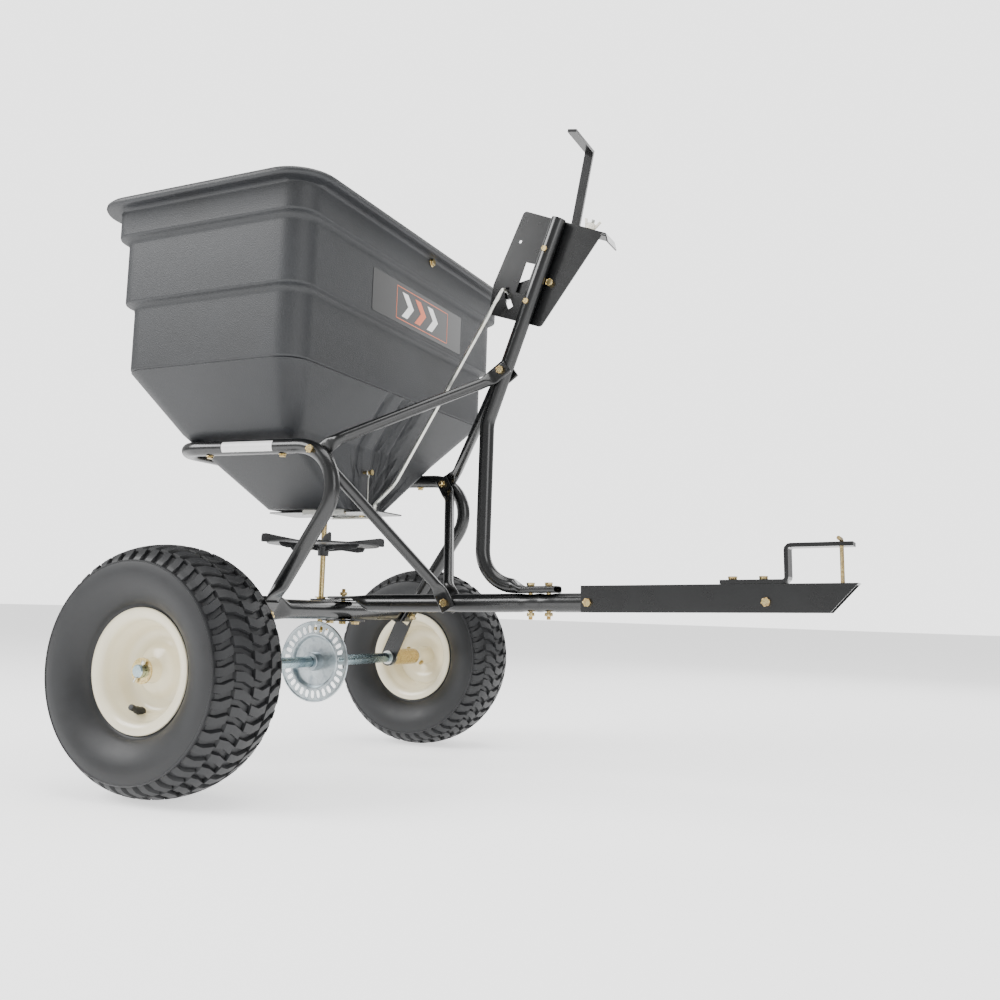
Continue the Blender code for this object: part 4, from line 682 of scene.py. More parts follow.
def build_rim(label, side):
    body = "near_wheel" if side == NEAR else "axle"
    centre = at(0, side * TRACK_HALF, AXLE.z)
    outside = [(0.0104, 0.041), (0.0172, 0.041), (0.0180, 0.0402), (0.0182, 0.028),
               (0.0190, 0.0215),
               (0.0225, 0.0185), (0.0300, 0.0170), (0.0360, 0.0135), (0.0395, 0.0085),
               (0.0450, 0.0060), (0.0540, 0.0052), (0.0600, 0.0075), (0.0632, 0.0125),
               (0.0650, 0.0200), (0.0672, 0.0265), (0.0720, 0.0320), (0.0738, 0.0380),
               (0.0750, 0.0450), (0.0785, 0.0490), (0.0850, 0.0508), (0.0895, 0.0514),
               (0.0922, 0.0508), (0.0930, 0.0492), (0.0922, 0.0478), (0.0890, 0.0474)]
    back = [(0.0890, 0.0474), (0.0790, 0.0474), (0.0772, 0.0440), (0.0772, 0.0330),
            (0.0700, 0.0230),
            (0.0700, -0.0230), (0.0772, -0.0330), (0.0772, -0.0440), (0.0790, -0.0474),
            (0.0890, -0.0474), (0.0922, -0.0478), (0.0930, -0.0492), (0.0922, -0.0508),
            (0.0895, -0.0514), (0.0850, -0.0508), (0.0785, -0.0490), (0.0750, -0.0450),
            (0.0738, -0.0380), (0.0720, -0.0320), (0.0672, -0.0265), (0.0650, -0.0200),
            (0.0632, -0.0100), (0.0600, 0.0020), (0.0540, 0.0012), (0.0450, 0.0020),
            (0.0370, 0.0050), (0.0300, 0.0120), (0.0200, 0.0140), (0.0182, 0.0100),
            (0.0180, -0.0442), (0.0172, -0.045), (0.0104, -0.045)]
    bm = turned(outside + back[1:], TURNED_STEPS, (0, side, 0), centre)
    piece(f"{label}_rim_pressing", bm, "cream_paint", body, (f"{label}_rim",), sharp_deg=40)
    build_valve(label, side, centre, body)


def build_valve(label, side, centre, body):
    """Rubber snap-in valve stem with its cap, in the rim's well."""
    turn = math.radians(197)
    out = Vector((math.sin(turn), 0, math.cos(turn)))
    axis = Vector((out.x * -0.35, side * 0.9, out.z * -0.35)).normalized()
    foot = centre + out * 0.0655 + Vector((0, side * 0.018, 0))
    profile = [(0.0001, 0.0), (0.0072, 0.0), (0.0074, 0.004), (0.0058, 0.007), (0.0056, 0.014),
               (0.0042, 0.0165), (0.0040, 0.018), (0.0046, 0.0185), (0.0047, 0.0265),
               (0.0040, 0.0280), (0.0001, 0.0282)]
    bm = turned(profile, 24, axis, foot)
    piece(f"{label}_valve_stem", bm, "rubber", body, sharp_deg=40)


# ---------------------------------------------------------------- frame tubes
TUBE_GAP = 0.0003
TUBE_WALL = 0.0016
FLAT_HALF = 0.0026
LOOP_R, LOOP_Y, LOOP_Z, LOOP_SLOPE, LOOP_REAR = 0.0127, 0.229, 0.552, 0.018, -0.158
LOOP_KNEE_BEND, LOOP_REAR_BEND = 0.070, 0.050
LEG_LEAN = math.radians(33.4)
LEG_DIR = Vector((math.sin(LEG_LEAN), 0, math.cos(LEG_LEAN)))
LEG_OUT = Vector((math.cos(LEG_LEAN), 0, -math.sin(LEG_LEAN)))
CROSS_X, CROSS_Z, CROSS_R, CROSS_FLAT = 0.050, 0.2833, 0.0165, 0.004
HITCH_R, TONGUE_Z, TONGUE_RISE, HITCH_REAR = 0.0159, 0.2945, math.radians(1.5), 0.030
TONGUE_UP = Vector((-math.sin(TONGUE_RISE), 0, math.cos(TONGUE_RISE)))
UPRIGHT_R, UPRIGHT_X, UPRIGHT_KINK, UPRIGHT_TOP = 0.0127, 0.3345, 0.618, 0.972
UPRIGHT_LEAN = math.radians(19.7)
UPRIGHT_FOOT, UPRIGHT_FOOT_HALF = 0.476, 0.006
BRACE_R = 0.0095
KNEE_BOLT_OUT = (0.4742, 0, 0.8804)


def bent_path(points, bends, arc_steps=14):
    """A polyline whose corners are arcs of the given radii."""
    path = [Vector(points[0])]
    for before, here, after, radius in zip(points, points[1:], points[2:], bends):
        before, here, after = Vector(before), Vector(here), Vector(after)
        back, on = (before - here).normalized(), (after - here).normalized()
        half = back.angle(on) / 2
        reach = radius / math.tan(half)
        middle = here + (back + on).normalized() * (radius / math.sin(half))
        first = here + back * reach - middle
        last = here + on * reach - middle
        turn = math.pi - 2 * half
        for k in range(arc_steps + 1):
            share = k / arc_steps
            mixed = first * math.sin((1 - share) * turn) + last * math.sin(share * turn)
            path.append(middle + mixed / math.sin(turn))
    path.append(Vector(points[-1]))
    return path


def tube_ring(centre, across, side, half_across, half_side, squareness, count):
    ring = []
    for i in range(count):
        turn = math.tau * (i + 0.5) / count
        c, s = math.cos(turn), math.sin(turn)
        ring.append(centre + across * (math.copysign(abs(c) ** squareness, c) * half_across) +
                    side * (math.copysign(abs(s) ** squareness, s) * half_side))
    return ring


def pressed_tube(path, radius, first_side, press_start=0.0, press_end=0.0, flat_half=FLAT_HALF,
                 fade=0.022, shift_start=0.0, dents=(), count=32):
    """Round tube along path whose ends are pressed flat, with shallow dents where bolts pull."""
    lengths = [0.0]
    for a, b in zip(path, path[1:]):
        lengths.append(lengths[-1] + (b - a).length)
    total = lengths[-1]
    stops = set(round(s, 6) for s in lengths)
    for pressed, sign in ((press_start, 1), (press_end, -1)):
        if pressed:
            origin = 0.0 if sign > 0 else total
            stops.update(round(origin + sign * (pressed + fade * k / 8), 6) for k in range(9))
    for middle, half, _ in dents:
        stops.update(round(middle + half * k / 6, 6) for k in range(-6, 7))
    stops = sorted(stops)
    kept = [stops[0]]
    for stop in stops[1:]:
        if stop - kept[-1] > 0.0004:
            kept.append(stop)
    stops = kept

    def along(distance):
        for i in range(len(lengths) - 1):
            if distance <= lengths[i + 1] + 1e-9:
                share = (distance - lengths[i]) / max(lengths[i + 1] - lengths[i], 1e-9)
                return path[i].lerp(path[i + 1], min(max(share, 0), 1))
        return path[-1]

    def pressing(distance):
        for pressed, travelled, shift in ((press_start, distance, shift_start),
                                          (press_end, total - distance, 0.0)):
            if pressed and travelled < pressed + fade - 1e-6:
                share = min(max((travelled - pressed) / fade, 0.0), 1.0)
                return 1 - share * share * (3 - 2 * share), shift
        for middle, half, depth in dents:
            reach = abs(distance - middle) / half
            if reach < 1:
                return depth * (1 - reach * reach * (3 - 2 * reach)), 0.0
        return 0.0, 0.0

    centres = [along(stop) for stop in stops]
    side = Vector(first_side)
    outer, inner = [], []
    half_flat_width = math.pi * radius / 2 * 0.92
    for i, (stop, centre) in enumerate(zip(stops, centres)):
        ahead = (centres[min(i + 1, len(centres) - 1)] - centre).normalized()
        behind = (centre - centres[max(i - 1, 0)]).normalized()
        tangent = (ahead + behind).normalized()
        side = (side - tangent * side.dot(tangent)).normalized()
        across = side.cross(tangent).normalized()
        flat, shift = pressing(stop)
        half_side = radius + (flat_half - radius) * flat
        half_across = radius + (half_flat_width - radius) * flat
        squareness = 1 - 0.45 * flat
        at_centre = centre + side * shift * flat
        outer.append(tube_ring(at_centre, across, side, half_across, half_side, squareness, count))
        inner.append(tube_ring(at_centre, across, side, half_across - TUBE_WALL,
                               max(half_side - TUBE_WALL, 0.0003), squareness, count))
    return loft(outer + list(reversed(inner)), closed=True)


def leg_point(side, along, out=0.0):
    base = Vector((CROSS_X, 0, CROSS_Z)) + LEG_OUT * (CROSS_FLAT + FLAT_HALF + TUBE_GAP)
    return at(*(base + LEG_DIR * along + LEG_OUT * out + Vector((0, side * LOOP_Y, 0))))


def loop_corner(side, rear=False):
    if rear:
        return at(LOOP_REAR, side * LOOP_Y, LOOP_Z - LOOP_SLOPE * LOOP_REAR)
    foot = leg_point(side, 0.0) - AXLE_X
    slope = LEG_DIR.z / LEG_DIR.x
    x = (LOOP_Z - foot.z + slope * foot.x) / (slope + LOOP_SLOPE)
    return at(x, side * LOOP_Y, LOOP_Z - LOOP_SLOPE * x)


def on_tongue(s, y=0.0, h=0.0):
    return at(s * math.cos(TONGUE_RISE) - h * math.sin(TONGUE_RISE), y,
              TONGUE_Z + s * math.sin(TONGUE_RISE) + h * math.cos(TONGUE_RISE))


def upright_at(z):
    return at(UPRIGHT_X + (z - UPRIGHT_KINK) * math.tan(UPRIGHT_LEAN), 0, z)


def brace_anchor(side):
    """Centre of the loop tube where the knee bolt passes."""
    knee = loop_corner(side)
    back = Vector((-1, 0, LOOP_SLOPE)).normalized()
    down = -LEG_DIR
    half = back.angle(down) / 2
    middle = knee + (back + down).normalized() * (LOOP_KNEE_BEND / math.sin(half))
    return middle + Vector(KNEE_BOLT_OUT).normalized() * LOOP_KNEE_BEND


class SPREADER_OT_frame_tubes(bpy.types.Operator):
    """Smooth bent and pressed tubes of the frame"""
    bl_idname = "spreader.frame_tubes"
    bl_label = "Frame tubes"

    def execute(self, context):
        self.loop()
        self.cross()
        self.hitch()
        self.upright()
        self.braces()
        return {"FINISHED"}

    def add(self, node, bm):
        piece(node + "_steel", bm, "black_paint", "frame", (node,), sharp_deg=60)

    def loop(self):
        corners = [leg_point(NEAR, -0.018), loop_corner(NEAR), loop_corner(NEAR, True),
                   loop_corner(FAR, True), loop_corner(FAR), leg_point(FAR, -0.018)]
        path = bent_path(corners, [LOOP_KNEE_BEND, LOOP_REAR_BEND, LOOP_REAR_BEND, LOOP_KNEE_BEND])
        self.add("hopper_loop_tube",
                 pressed_tube(path, LOOP_R, LEG_OUT, 0.042, 0.042, fade=0.03))

    def cross(self):
        reach = LOOP_Y + 0.017
        path = [at(CROSS_X, y, CROSS_Z) for y in (-reach, 0.0, reach)]
        self.add("cross_tube", pressed_tube(path, CROSS_R, LEG_OUT, 0.040, 0.040,
                                            flat_half=CROSS_FLAT, fade=0.034))

    def hitch(self):
        path = [on_tongue(s) for s in (HITCH_REAR, 0.20, 0.40, 0.845)]
        rise = CROSS_Z + CROSS_R + 2 * TUBE_GAP + 0.003 + FLAT_HALF - on_tongue(HITCH_REAR).z
        dents = tuple((s - HITCH_REAR, 0.020, 0.10) for s in (0.2738, 0.427, 0.460))
        self.add("hitch_tube", pressed_tube(path, HITCH_R, TONGUE_UP, 0.046, fade=0.036,
                                            shift_start=rise, dents=dents))

    def upright(self):
        foot_h = HITCH_R + TUBE_GAP + UPRIGHT_R
        path = bent_path([on_tongue(UPRIGHT_FOOT, 0, foot_h),
                          on_tongue(UPRIGHT_X / math.cos(TONGUE_RISE), 0, foot_h),
                          at(UPRIGHT_X, 0, UPRIGHT_KINK), upright_at(UPRIGHT_TOP)],
                         [0.062, 0.060], 14)
        self.add("upright_tube", pressed_tube(path, UPRIGHT_R, TONGUE_UP, 0.060,
                                              flat_half=UPRIGHT_FOOT_HALF, fade=0.024,
                                              shift_start=UPRIGHT_FOOT_HALF - UPRIGHT_R))

    def braces(self):
        tab, blend = 0.013, 0.030
        stack = 2 * FLAT_HALF + TUBE_GAP
        for label, side in SIDES:
            anchor = brace_anchor(side)
            first = LOOP_Y - LOOP_R - TUBE_GAP - FLAT_HALF
            for level, y, goal, radius in (("upper", first, upright_at(0.7065), UPRIGHT_R),
                                           ("lower", first - stack, on_tongue(0.2738), HITCH_R)):
                start = Vector((anchor.x, side * y, anchor.z))
                end = Vector((goal.x, side * (radius + TUBE_GAP + FLAT_HALF), goal.z))
                flat = Vector((end.x - start.x, 0, end.z - start.z)).normalized()
                path = bent_path([start - flat * tab, start + flat * blend, end - flat * blend,
                                  end + flat * tab], [0.05, 0.05], 8)
                self.add(f"{label}_{level}_brace",
                         pressed_tube(path, BRACE_R, Vector((0, 1, 0)), 0.030, 0.030, fade=0.022,
                                      count=28))


# ---------------------------------------------------------------- fasteners
THREAD_PITCH = 0.0011


def node_points(node):
    return [v.co.copy() for v in frame["nodes"][node].data.vertices]


def long_axis(points):
    """Centre and long direction of a turned node, by repeated multiplication."""
    centre = sum(points, Vector()) / len(points)
    spread = Matrix(((0, 0, 0), (0, 0, 0), (0, 0, 0)))
    for point in points:
        d = point - centre
        for i in range(3):
            for j in range(3):
                spread[i][j] += d[i] * d[j]
    axis = Vector((0.41, 0.63, 0.66))
    for _ in range(60):
        axis = (spread @ axis).normalized()
    return centre, axis


def stations(node):
    """(distance along the axis, radius) levels of a turned node from its head end on."""
    points = node_points(node)
    centre, axis = long_axis(points)
    levels = {}
    for point in points:
        along = (point - centre).dot(axis)
        out = (point - centre - axis * along).length
        key = round(along, 5)
        levels[key] = max(levels.get(key, 0.0), out)
    ordered = sorted(levels.items())
    if ordered[0][1] < ordered[-1][1]:
        axis = -axis
        ordered = [(-d, r) for d, r in reversed(ordered)]
    return centre, axis, ordered


def hexagon(radius, chamfer, low, high, bm, centre, axis, turn):
    """Hexagonal prism with its corners turned off at both ends, more at the high one."""
    across, side = basis(axis)
    rings = []
    count = 24
    circle_r = radius * 0.86
    levels = ((low, 0.0), (low + (high - low) * 0.12, 0.35), (high - chamfer, 1.0), (high, 0.0))
    for level, fullness in levels:
        ring = []
        for k in range(count):
            angle = math.tau * k / count
            flat = radius * math.cos(math.pi / 6) / math.cos(
                (angle + math.pi / 6) % (math.pi / 3) - math.pi / 6)
            reach = min(flat, circle_r + (radius - circle_r) * fullness)
            if fullness == 0.0:
                reach = min(flat, circle_r) * 0.985
            out = across * math.cos(angle + turn) + side * math.sin(angle + turn)
            ring.append(centre + axis * level + out * reach)
        rings.append(ring)
    loft(rings, bm=bm)


class SPREADER_OT_fasteners(bpy.types.Operator):
    """Hexagon bolts, nuts and thread ends in place of the CAD's plain ones"""
    bl_idname = "spreader.fasteners"
    bl_label = "Fasteners"

    def execute(self, context):
        for i, name in enumerate(sorted(n for n in frame["nodes"] if is_hex_bolt(n))):
            build_bolt(name, 0.37 * i)
        return {"FINISHED"}


def is_hex_bolt(name):
    return name != "stop_bolt" and (name == "drive_pin" or "_bolt" in name)


def bolt_body(name):
    """The drive pin turns with the axle; every other bolt stays on the frame."""
    return "axle" if name == "drive_pin" else "frame"


def build_bolt(name, turn):
    centre, axis, levels = stations(name)
    hex_r = max(r for _, r in levels)
    shank = hex_r / 1.9
    head_top, tail = levels[0][0], levels[-1][0]
    wide = [d for d, r in levels if r > hex_r * 0.95]
    head_low = min(d for d in wide if d - head_top > 0.5 * shank)
    nut_low = min(d for d in wide if d - head_low > shank * 1.0)
    nut_high = max(wide)
    bm = bmesh.new()
    hexagon(hex_r, shank * 0.2, head_low, head_top, bm, centre, axis, turn)
    hexagon(hex_r, shank * 0.2, nut_low, nut_high, bm, centre, axis, turn + 0.4)
    rings = []
    across, side = basis(axis)
    profile = [(head_low, shank * 0.97), (nut_low, shank * 0.97), (nut_high, shank * 0.97)]
    level = nut_high
    high = True
    while level < tail - 0.0006:
        level += THREAD_PITCH / 2
        profile.append((level, shank * (0.97 if high else 0.84)))
        high = not high
    profile.append((max(tail, level + 0.0002), shank * 0.78))
    for distance, radius in profile:
        rings.append([centre + axis * distance + (across * math.cos(math.tau * k / 20) +
                                                  side * math.sin(math.tau * k / 20)) * radius
                      for k in range(20)])
    loft(rings, bm=bm)
    piece(name + "_hex", bm, "yellow_zinc", bolt_body(name), (name,), sharp_deg=25)


def small_screw(name, place, axis, head_r, length=0.010):
    """Small hexagon screw on the frame: washer, head and a thread end behind it."""
    axis = Vector(axis).normalized()
    bm = turned([(0.0002, -length), (0.0024, -length), (0.0026, -0.0002), (head_r * 1.25, -0.0002),
                 (head_r * 1.3, 0.0004), (head_r * 1.2, 0.0011), (0.0002, 0.0011)], 24, axis, place)
    hexagon(head_r, 0.0008, 0.0011, 0.0048, bm, place, axis, 0.5)
    piece(name, bm, "yellow_zinc", "frame", sharp_deg=25)


class SPREADER_OT_small_screws(bpy.types.Operator):
    """Screws that hold the hopper, the guide and the clamp"""
    bl_idname = "spreader.small_screws"
    bl_label = "Small screws"

    def execute(self, context):
        small_screw("hopper_front_screw", at(0.1863, 0.042, 0.9420), (1, 0, 0), 0.0065)
        for label, side in SIDES:
            for place, x in (("rear", -0.082), ("front", 0.072)):
                z = LOOP_Z - LOOP_SLOPE * x - LOOP_R
                small_screw(f"{label}_saddle_screw_{place}", at(x, side * LOOP_Y, z), (0, 0, -1),
                            0.0055, 0.004)
        for i, y in enumerate((-0.030, 0.030)):
            small_screw(f"guide_screw_{i}", at(0.062, y, 0.4628), (0, 0, -1), 0.0045, 0.002)
        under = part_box("clamp_plate")[0].z
        for label, x in (("rear", 0.0225), ("front", 0.078)):
            small_screw(f"clamp_screw_{label}", at(x, 0, under), (0, 0, -1), 0.0075, 0.002)
        return {"FINISHED"}


# ---------------------------------------------------------------- ring gear and spinner
GEAR_CENTRE_Y = -0.012
GEAR_SLOTS = 30
SLOT_INNER, SLOT_OUTER, SLOT_HALF = 0.0530, 0.0670, 0.0038
GEAR_PROFILE = (
    # radius, offset along the axle towards the far side
    (0.0740, 0.0008), (0.0722, 0.0020), (0.0702, 0.0010), (0.0515, 0.0010), (0.0500, 0.0008),
    (0.0478, 0.0030), (0.0462, 0.0062), (0.0440, 0.0078), (0.0300, 0.0081), (0.0185, 0.0081),
    (0.0172, 0.0092), (0.0170, 0.0142), (0.0162, 0.0150), (0.0103, 0.0150), (0.0103, -0.0150),
    (0.0162, -0.0150), (0.0170, -0.0142), (0.0172, 0.0052), (0.0300, 0.0060), (0.0430, 0.0058),
    (0.0446, 0.0044), (0.0458, 0.0006), (0.0480, -0.0022), (0.0500, -0.0024), (0.0516, -0.0010),
    (0.0700, -0.0010), (0.0716, -0.0028), (0.0732, -0.0026), (0.0741, -0.0010))


def stadium(inner, outer, half, steps=6):
    """Outline of a radial slot: (radius, sideways) with round ends."""
    outline = []
    for middle, start in ((outer - half, -90), (inner + half, 90)):
        for k in range(steps + 1):
            turn = math.radians(start + 180 * k / steps)
            outline.append((middle + half * math.cos(turn), half * math.sin(turn)))
    return outline


class SPREADER_OT_ring_gear(bpy.types.Operator):
    """Dished zinc disc with thirty radial slots and a rolled edge"""
    bl_idname = "spreader.ring_gear"
    bl_label = "Ring gear"

    def execute(self, context):
        centre = at(0, GEAR_CENTRE_Y, AXLE.z)
        made = piece("ring_gear_pressing", turned(GEAR_PROFILE, 120, (0, 1, 0), centre),
                     "gear_zinc", "axle", ("ring_gear",), sharp_deg=30)
        slots = bmesh.new()
        for k in range(GEAR_SLOTS):
            turn = math.tau * k / GEAR_SLOTS
            out = Vector((math.sin(turn), 0, math.cos(turn)))
            side = Vector((math.cos(turn), 0, -math.sin(turn)))
            rings = [[centre + out * r + side * w + Vector((0, y, 0))
                      for r, w in stadium(SLOT_INNER, SLOT_OUTER, SLOT_HALF)]
                     for y in (-0.006, 0.006)]
            loft(rings, bm=slots)
        bmesh.ops.recalc_face_normals(slots, faces=slots.faces)
        cut_out(made, slots)
        return {"FINISHED"}


SPINNER_Z, SPINNER_R = 0.404, 0.104
VANES = 4
# radius, foot, top, half thickness
BLADE = ((0.0240, 0.0008, 0.0042, 0.0011), (0.0500, 0.0008, 0.0085, 0.0012),
         (0.0800, 0.0008, 0.0130, 0.0013), (0.1060, 0.0008, 0.0172, 0.0014),
         (0.1130, 0.0008, 0.0160, 0.0013), (0.1146, 0.0020, 0.0120, 0.0010))
RIB = ((0.0120, -0.0120, -0.0008, 0.0010), (0.0400, -0.0085, -0.0008, 0.0010),
       (0.0800, -0.0105, -0.0008, 0.0011), (0.0960, -0.0080, -0.0008, 0.0011),
       (0.1010, -0.0030, -0.0008, 0.0010))


def vane(bm, centre, turn, levels):
    """A tapered blade through the levels of BLADE or RIB."""
    rings = []
    for radius, foot, top, half in levels:
        bend = turn + 0.22 * (radius - 0.024) / 0.09
        out = Vector((math.cos(bend), math.sin(bend), 0))
        side = Vector((-math.sin(bend), math.cos(bend), 0))
        rings.append([centre + out * radius + side * w + Vector((0, 0, z)) for w, z in (
            (-half, foot), (half, foot), (half * 0.7, top - 0.0006), (half * 0.35, top),
            (-half * 0.35, top), (-half * 0.7, top - 0.0006))])
    loft(rings, bm=bm)


class SPREADER_OT_spinner(bpy.types.Operator):
    """Moulded thrower plate with tall tapered blades and hooked ribs below"""
    bl_idname = "spreader.spinner"
    bl_label = "Spinner"

    def execute(self, context):
        centre = at(0, 0, SPINNER_Z)
        t = 0.00125
        profile = [(0.0055, 0.0062), (0.0092, 0.0062), (0.0104, 0.0052), (0.0110, 0.0026),
                   (0.0140, t), (0.0990, t), (0.1020, t + 0.0010), (SPINNER_R - 0.0004, t + 0.0006),
                   (SPINNER_R, 0.0), (SPINNER_R - 0.0006, -t), (0.0180, -t), (0.0120, -0.0040),
                   (0.0104, -0.0100), (0.0100, -0.0200), (0.0092, -0.0210), (0.0055, -0.0210)]
        bm = turned(profile, 96, (0, 0, 1), centre)
        for k in range(VANES):
            turn = math.tau * (k + 0.32) / VANES
            vane(bm, centre, turn, BLADE)
            vane(bm, centre, turn + 0.6, RIB)
        piece("spinner_blades", bm, "black_nylon", "spinner", ("spinner_plate",), sharp_deg=32)
        return {"FINISHED"}


# ---------------------------------------------------------------- decal and label
DECAL_LOW, DECAL_HIGH = (-0.138, 0.8005), (0.188, 0.8765)
DECAL_LINE = (-0.059, 0.132)
LINE_LOW, LINE_HIGH, LINE_WIDTH = 0.8085, 0.8690, 0.0014
CHEVRON_LEFT, CHEVRON_PITCH, CHEVRON_WIDTH, CHEVRON_LEAN = -0.040, 0.046, 0.020, 0.022
CHEVRON_LOW, CHEVRON_MIDDLE, CHEVRON_HIGH = 0.8160, 0.8385, 0.8610
LABEL_ENDS = (-0.048, 0.058)


def film(name, outline, x, thickness, finish_name):
    """A thin printed film lying on the hopper's front."""
    rings = [[at(x + lift, y, z) for y, z in outline] for lift in (0.0, thickness)]
    piece(name, loft(rings), finish_name, "frame", sharp_deg=30)


def panel(low, high, corner, steps=6):
    """Outline of a rectangle with round corners."""
    (y0, z0), (y1, z1) = low, high
    outline = []
    for cy, cz, start in ((y1 - corner, z0 + corner, -90), (y1 - corner, z1 - corner, 0),
                          (y0 + corner, z1 - corner, 90), (y0 + corner, z0 + corner, 180)):
        for k in range(steps + 1):
            turn = math.radians(start + 90 * k / steps)
            outline.append((cy + corner * math.cos(turn), cz + corner * math.sin(turn)))
    return outline


class SPREADER_OT_decals(bpy.types.Operator):
    """Printed panel with chevrons on the hopper's front, blank label on the loop tube"""
    bl_idname = "spreader.decals"
    bl_label = "Decals"

    def execute(self, context):
        face = HOPPER_LEVELS[3][2] + 0.0002
        film("decal_panel", panel(DECAL_LOW, DECAL_HIGH, 0.004), face, 0.0003, "decal_black")
        self.outline_line(face + 0.0003)
        for k, ink in enumerate(("decal_white", "decal_orange", "decal_white")):
            left = CHEVRON_LEFT + CHEVRON_PITCH * k
            right = left + CHEVRON_WIDTH
            outline = [(left, CHEVRON_LOW), (right, CHEVRON_LOW),
                       (right + CHEVRON_LEAN, CHEVRON_MIDDLE), (right, CHEVRON_HIGH),
                       (left, CHEVRON_HIGH), (left + CHEVRON_LEAN, CHEVRON_MIDDLE)]
            film(f"decal_chevron_{k}", outline, face + 0.0003, 0.0002, ink)
        self.tube_label()
        return {"FINISHED"}

    def outline_line(self, x):
        """A thin orange frame round the middle of the panel."""
        left, right = DECAL_LINE
        outer = panel((left, LINE_LOW), (right, LINE_HIGH), 0.0015)
        inner = panel((left + LINE_WIDTH, LINE_LOW + LINE_WIDTH),
                      (right - LINE_WIDTH, LINE_HIGH - LINE_WIDTH), 0.0010)
        rings = [[at(x + lift, y, z) for y, z in ring]
                 for ring, lift in ((inner, 0.0), (outer, 0.0), (outer, 0.0002), (inner, 0.0002))]
        piece("decal_outline", loft(rings, closed=True), "decal_orange", "frame",
              sharp_deg=30)

    def tube_label(self):
        """Blank paper label wrapped on the near side run of the loop tube."""
        rings = []
        steps = 12
        for x in LABEL_ENDS:
            centre = at(x, -LOOP_Y, LOOP_Z - LOOP_SLOPE * x)
            ring = []
            for radius, order in ((LOOP_R + 0.0001, range(steps + 1)),
                                  (LOOP_R + 0.0004, range(steps, -1, -1))):
                for k in order:
                    turn = math.radians(-42 + 84 * k / steps)
                    ring.append(centre + Vector((0, -radius * math.cos(turn),
                                                 radius * math.sin(turn))))
            rings.append(ring)
        piece("tube_label", loft(rings), "decal_white", "frame", sharp_deg=30)


# ---------------------------------------------------------------- finishes on the CAD nodes
EDGE_ROUNDS = {
    # millimetres of rounding on the plates' sheared and moulded edges
    "flow_bracket": 0.5, "flow_lever": 0.8, "hitch_bracket": 1.4, "tongue_channel": 1.0,
    "near_axle_bracket": 0.7, "far_axle_bracket": 0.7, "clamp_plate": 0.6, "shaft_plate": 0.6,
    "gate_slide": 0.4, "gate_guide": 0.3, "stop_wing_nut": 0.5, "pinion": 0.4,
}


class SPREADER_OT_edges(bpy.types.Operator):
    """Rounds the sheared edges of plates and channels"""
    bl_idname = "spreader.edges"
    bl_label = "Plate edges"

    def execute(self, context):
        for name, millimetres in EDGE_ROUNDS.items():
            bevel(frame["nodes"][name], millimetres / 1000.0)
        return {"FINISHED"}


class SPREADER_OT_cad_finishes(bpy.types.Operator):
    """Gives each visible CAD node the finish of its material slot"""
    bl_idname = "spreader.cad_finishes"
    bl_label = "CAD finishes"

    def execute(self, context):
        wanted = {entry["node"]: entry["material_slot"] for entry in frame["record"]["subparts"]}
        for name, obj in frame["nodes"].items():
            slots = obj.material_slots
            if not slots:
                obj.data.materials.append(finish(wanted[name]))
            for entry in slots:
                entry.link = "OBJECT"
                entry.material = finish(wanted[name])
        return {"FINISHED"}


# ---------------------------------------------------------------- stage
FLOOR_HALF, FLOOR_DROP = 30.0, -0.0002
CAMERA_PLACE = (1.1065, -1.5555, 0.2917)
WHITE = (1.0, 1.0, 1.0, 1.0)


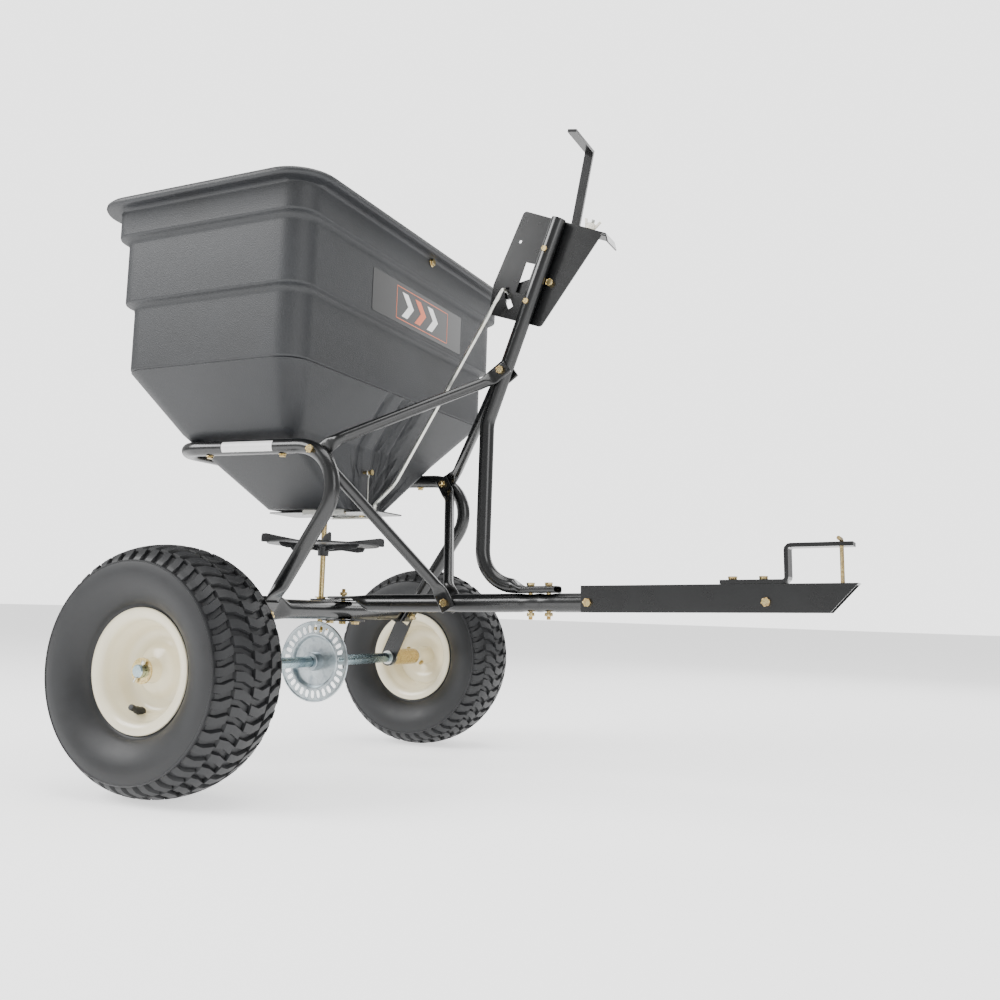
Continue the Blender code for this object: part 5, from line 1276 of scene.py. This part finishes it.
class SPREADER_OT_stage(bpy.types.Operator):
    """Pale floor, soft lights and the camera"""
    bl_idname = "spreader.stage"
    bl_label = "Stage"

    def execute(self, context):
        chosen = settings().stage
        floor_mesh = bpy.data.meshes.new("floor")
        bm = bmesh.new()
        bm.faces.new([bm.verts.new((x * FLOOR_HALF, y * FLOOR_HALF, FLOOR_DROP))
                      for x, y in ((-1, -1), (1, -1), (1, 1), (-1, 1))])
        bm.to_mesh(floor_mesh)
        bm.free()
        floor = bpy.data.objects.new("floor", floor_mesh)
        bpy.context.scene.collection.objects.link(floor)
        made, _, shader, _ = start_material("matt_white_studio_floor")
        set_inputs(shader, Base_Color=linear(chosen.floor_colour), Roughness=0.9,
                   Specular_IOR_Level=0.1, Emission_Color=WHITE,
                   Emission_Strength=1.1)
        floor.data.materials.append(made)
        self.add_world()
        self.add_lights()
        self.add_camera(chosen)
        return {"FINISHED"}

    def add_world(self):
        world = bpy.data.worlds.new("studio")
        world.use_nodes = True
        tree = world.node_tree
        background = tree.nodes["Background"]
        background.inputs["Color"].default_value = WHITE
        seen = add_node(tree, "ShaderNodeLightPath")
        strength = add_node(tree, "ShaderNodeMapRange", [("Value", seen, "Is Camera Ray")],
                            To_Min=0.55, To_Max=2.8)
        tree.links.new(strength.outputs["Result"], background.inputs["Strength"])
        bpy.context.scene.world = world

    def add_lights(self):
        places = (
            # name, place, aim, width, height, watts
            ("key", (-2.6, -2.4, 2.6), (0.0, 0.0, 0.5), 2.4, 2.0, 170),
            ("top", (0.2, -0.2, 3.4), (0.0, 0.0, 0.4), 2.6, 2.6, 80),
            ("right", (3.2, -1.6, 1.6), (0.1, 0.0, 0.6), 1.6, 2.2, 40),
            ("back", (0.6, 3.2, 2.2), (0.0, 0.0, 0.5), 2.4, 1.6, 45),
        )
        for name, place, aim, width, height, watts in places:
            data = bpy.data.lights.new(name, "AREA")
            data.shape = "RECTANGLE"
            data.size = width
            data.size_y = height
            data.energy = watts
            lamp = bpy.data.objects.new(name, data)
            lamp.location = place
            lamp.rotation_euler = (Vector(aim) - Vector(place)).to_track_quat("-Z", "Y").to_euler()
            bpy.context.scene.collection.objects.link(lamp)

    def add_camera(self, chosen):
        data = bpy.data.cameras.new("camera")
        data.lens = chosen.lens
        data.sensor_width = 36.0
        data.clip_end = 100.0
        camera = bpy.data.objects.new("camera", data)
        place = at(*CAMERA_PLACE)
        turn, pitch, roll = chosen.camera_azimuth, chosen.camera_pitch, chosen.camera_roll
        forward = Vector((-math.sin(turn) * math.cos(pitch), math.cos(turn) * math.cos(pitch),
                          math.sin(pitch)))
        right = Vector((math.cos(turn), math.sin(turn), 0.0))
        up = right.cross(forward)
        rolled = right * math.cos(roll) + up * math.sin(roll)
        raised = up * math.cos(roll) - right * math.sin(roll)
        turned_to = Matrix((rolled, raised, -forward)).transposed().to_4x4()
        camera.matrix_world = Matrix.Translation(place) @ turned_to
        bpy.context.scene.collection.objects.link(camera)
        bpy.context.scene.camera = camera


class SPREADER_PT_panel(bpy.types.Panel):
    """Lists the spreader's pieces and their settings"""
    bl_idname = "SPREADER_PT_panel"
    bl_label = "Broadcast Spreader"
    bl_space_type = "VIEW_3D"
    bl_region_type = "UI"
    bl_category = "Spreader"

    def draw(self, context):
        chosen = context.scene.spreader
        for group in (chosen.hopper, chosen.frame_tubes, chosen.wheels, chosen.stage):
            box = self.layout.box()
            for prop in group.bl_rna.properties:
                if prop.identifier not in {"rna_type", "name"}:
                    box.prop(group, prop.identifier)
        for operator in OPERATORS:
            self.layout.operator(operator.bl_idname)


GROUPS = (HopperSettings, FrameSettings, WheelSettings, StageSettings, SpreaderSettings)
OPERATORS = (SPREADER_OT_stage, SPREADER_OT_cad_finishes, SPREADER_OT_hopper, SPREADER_OT_tyres,
             SPREADER_OT_rims, SPREADER_OT_frame_tubes, SPREADER_OT_ring_gear,
             SPREADER_OT_spinner, SPREADER_OT_fasteners, SPREADER_OT_small_screws,
             SPREADER_OT_decals, SPREADER_OT_edges)
CLASSES = GROUPS + OPERATORS + (SPREADER_PT_panel,)


def register():
    for cls in CLASSES:
        bpy.utils.register_class(cls)
    bpy.types.Scene.spreader = PointerProperty(type=SpreaderSettings)


def unregister():
    del bpy.types.Scene.spreader
    for cls in reversed(CLASSES):
        bpy.utils.unregister_class(cls)


def main():
    register()
    for operator in OPERATORS:
        area, name = operator.bl_idname.split(".")
        getattr(getattr(bpy.ops, area), name)()


if __name__ == "__main__":
    main()
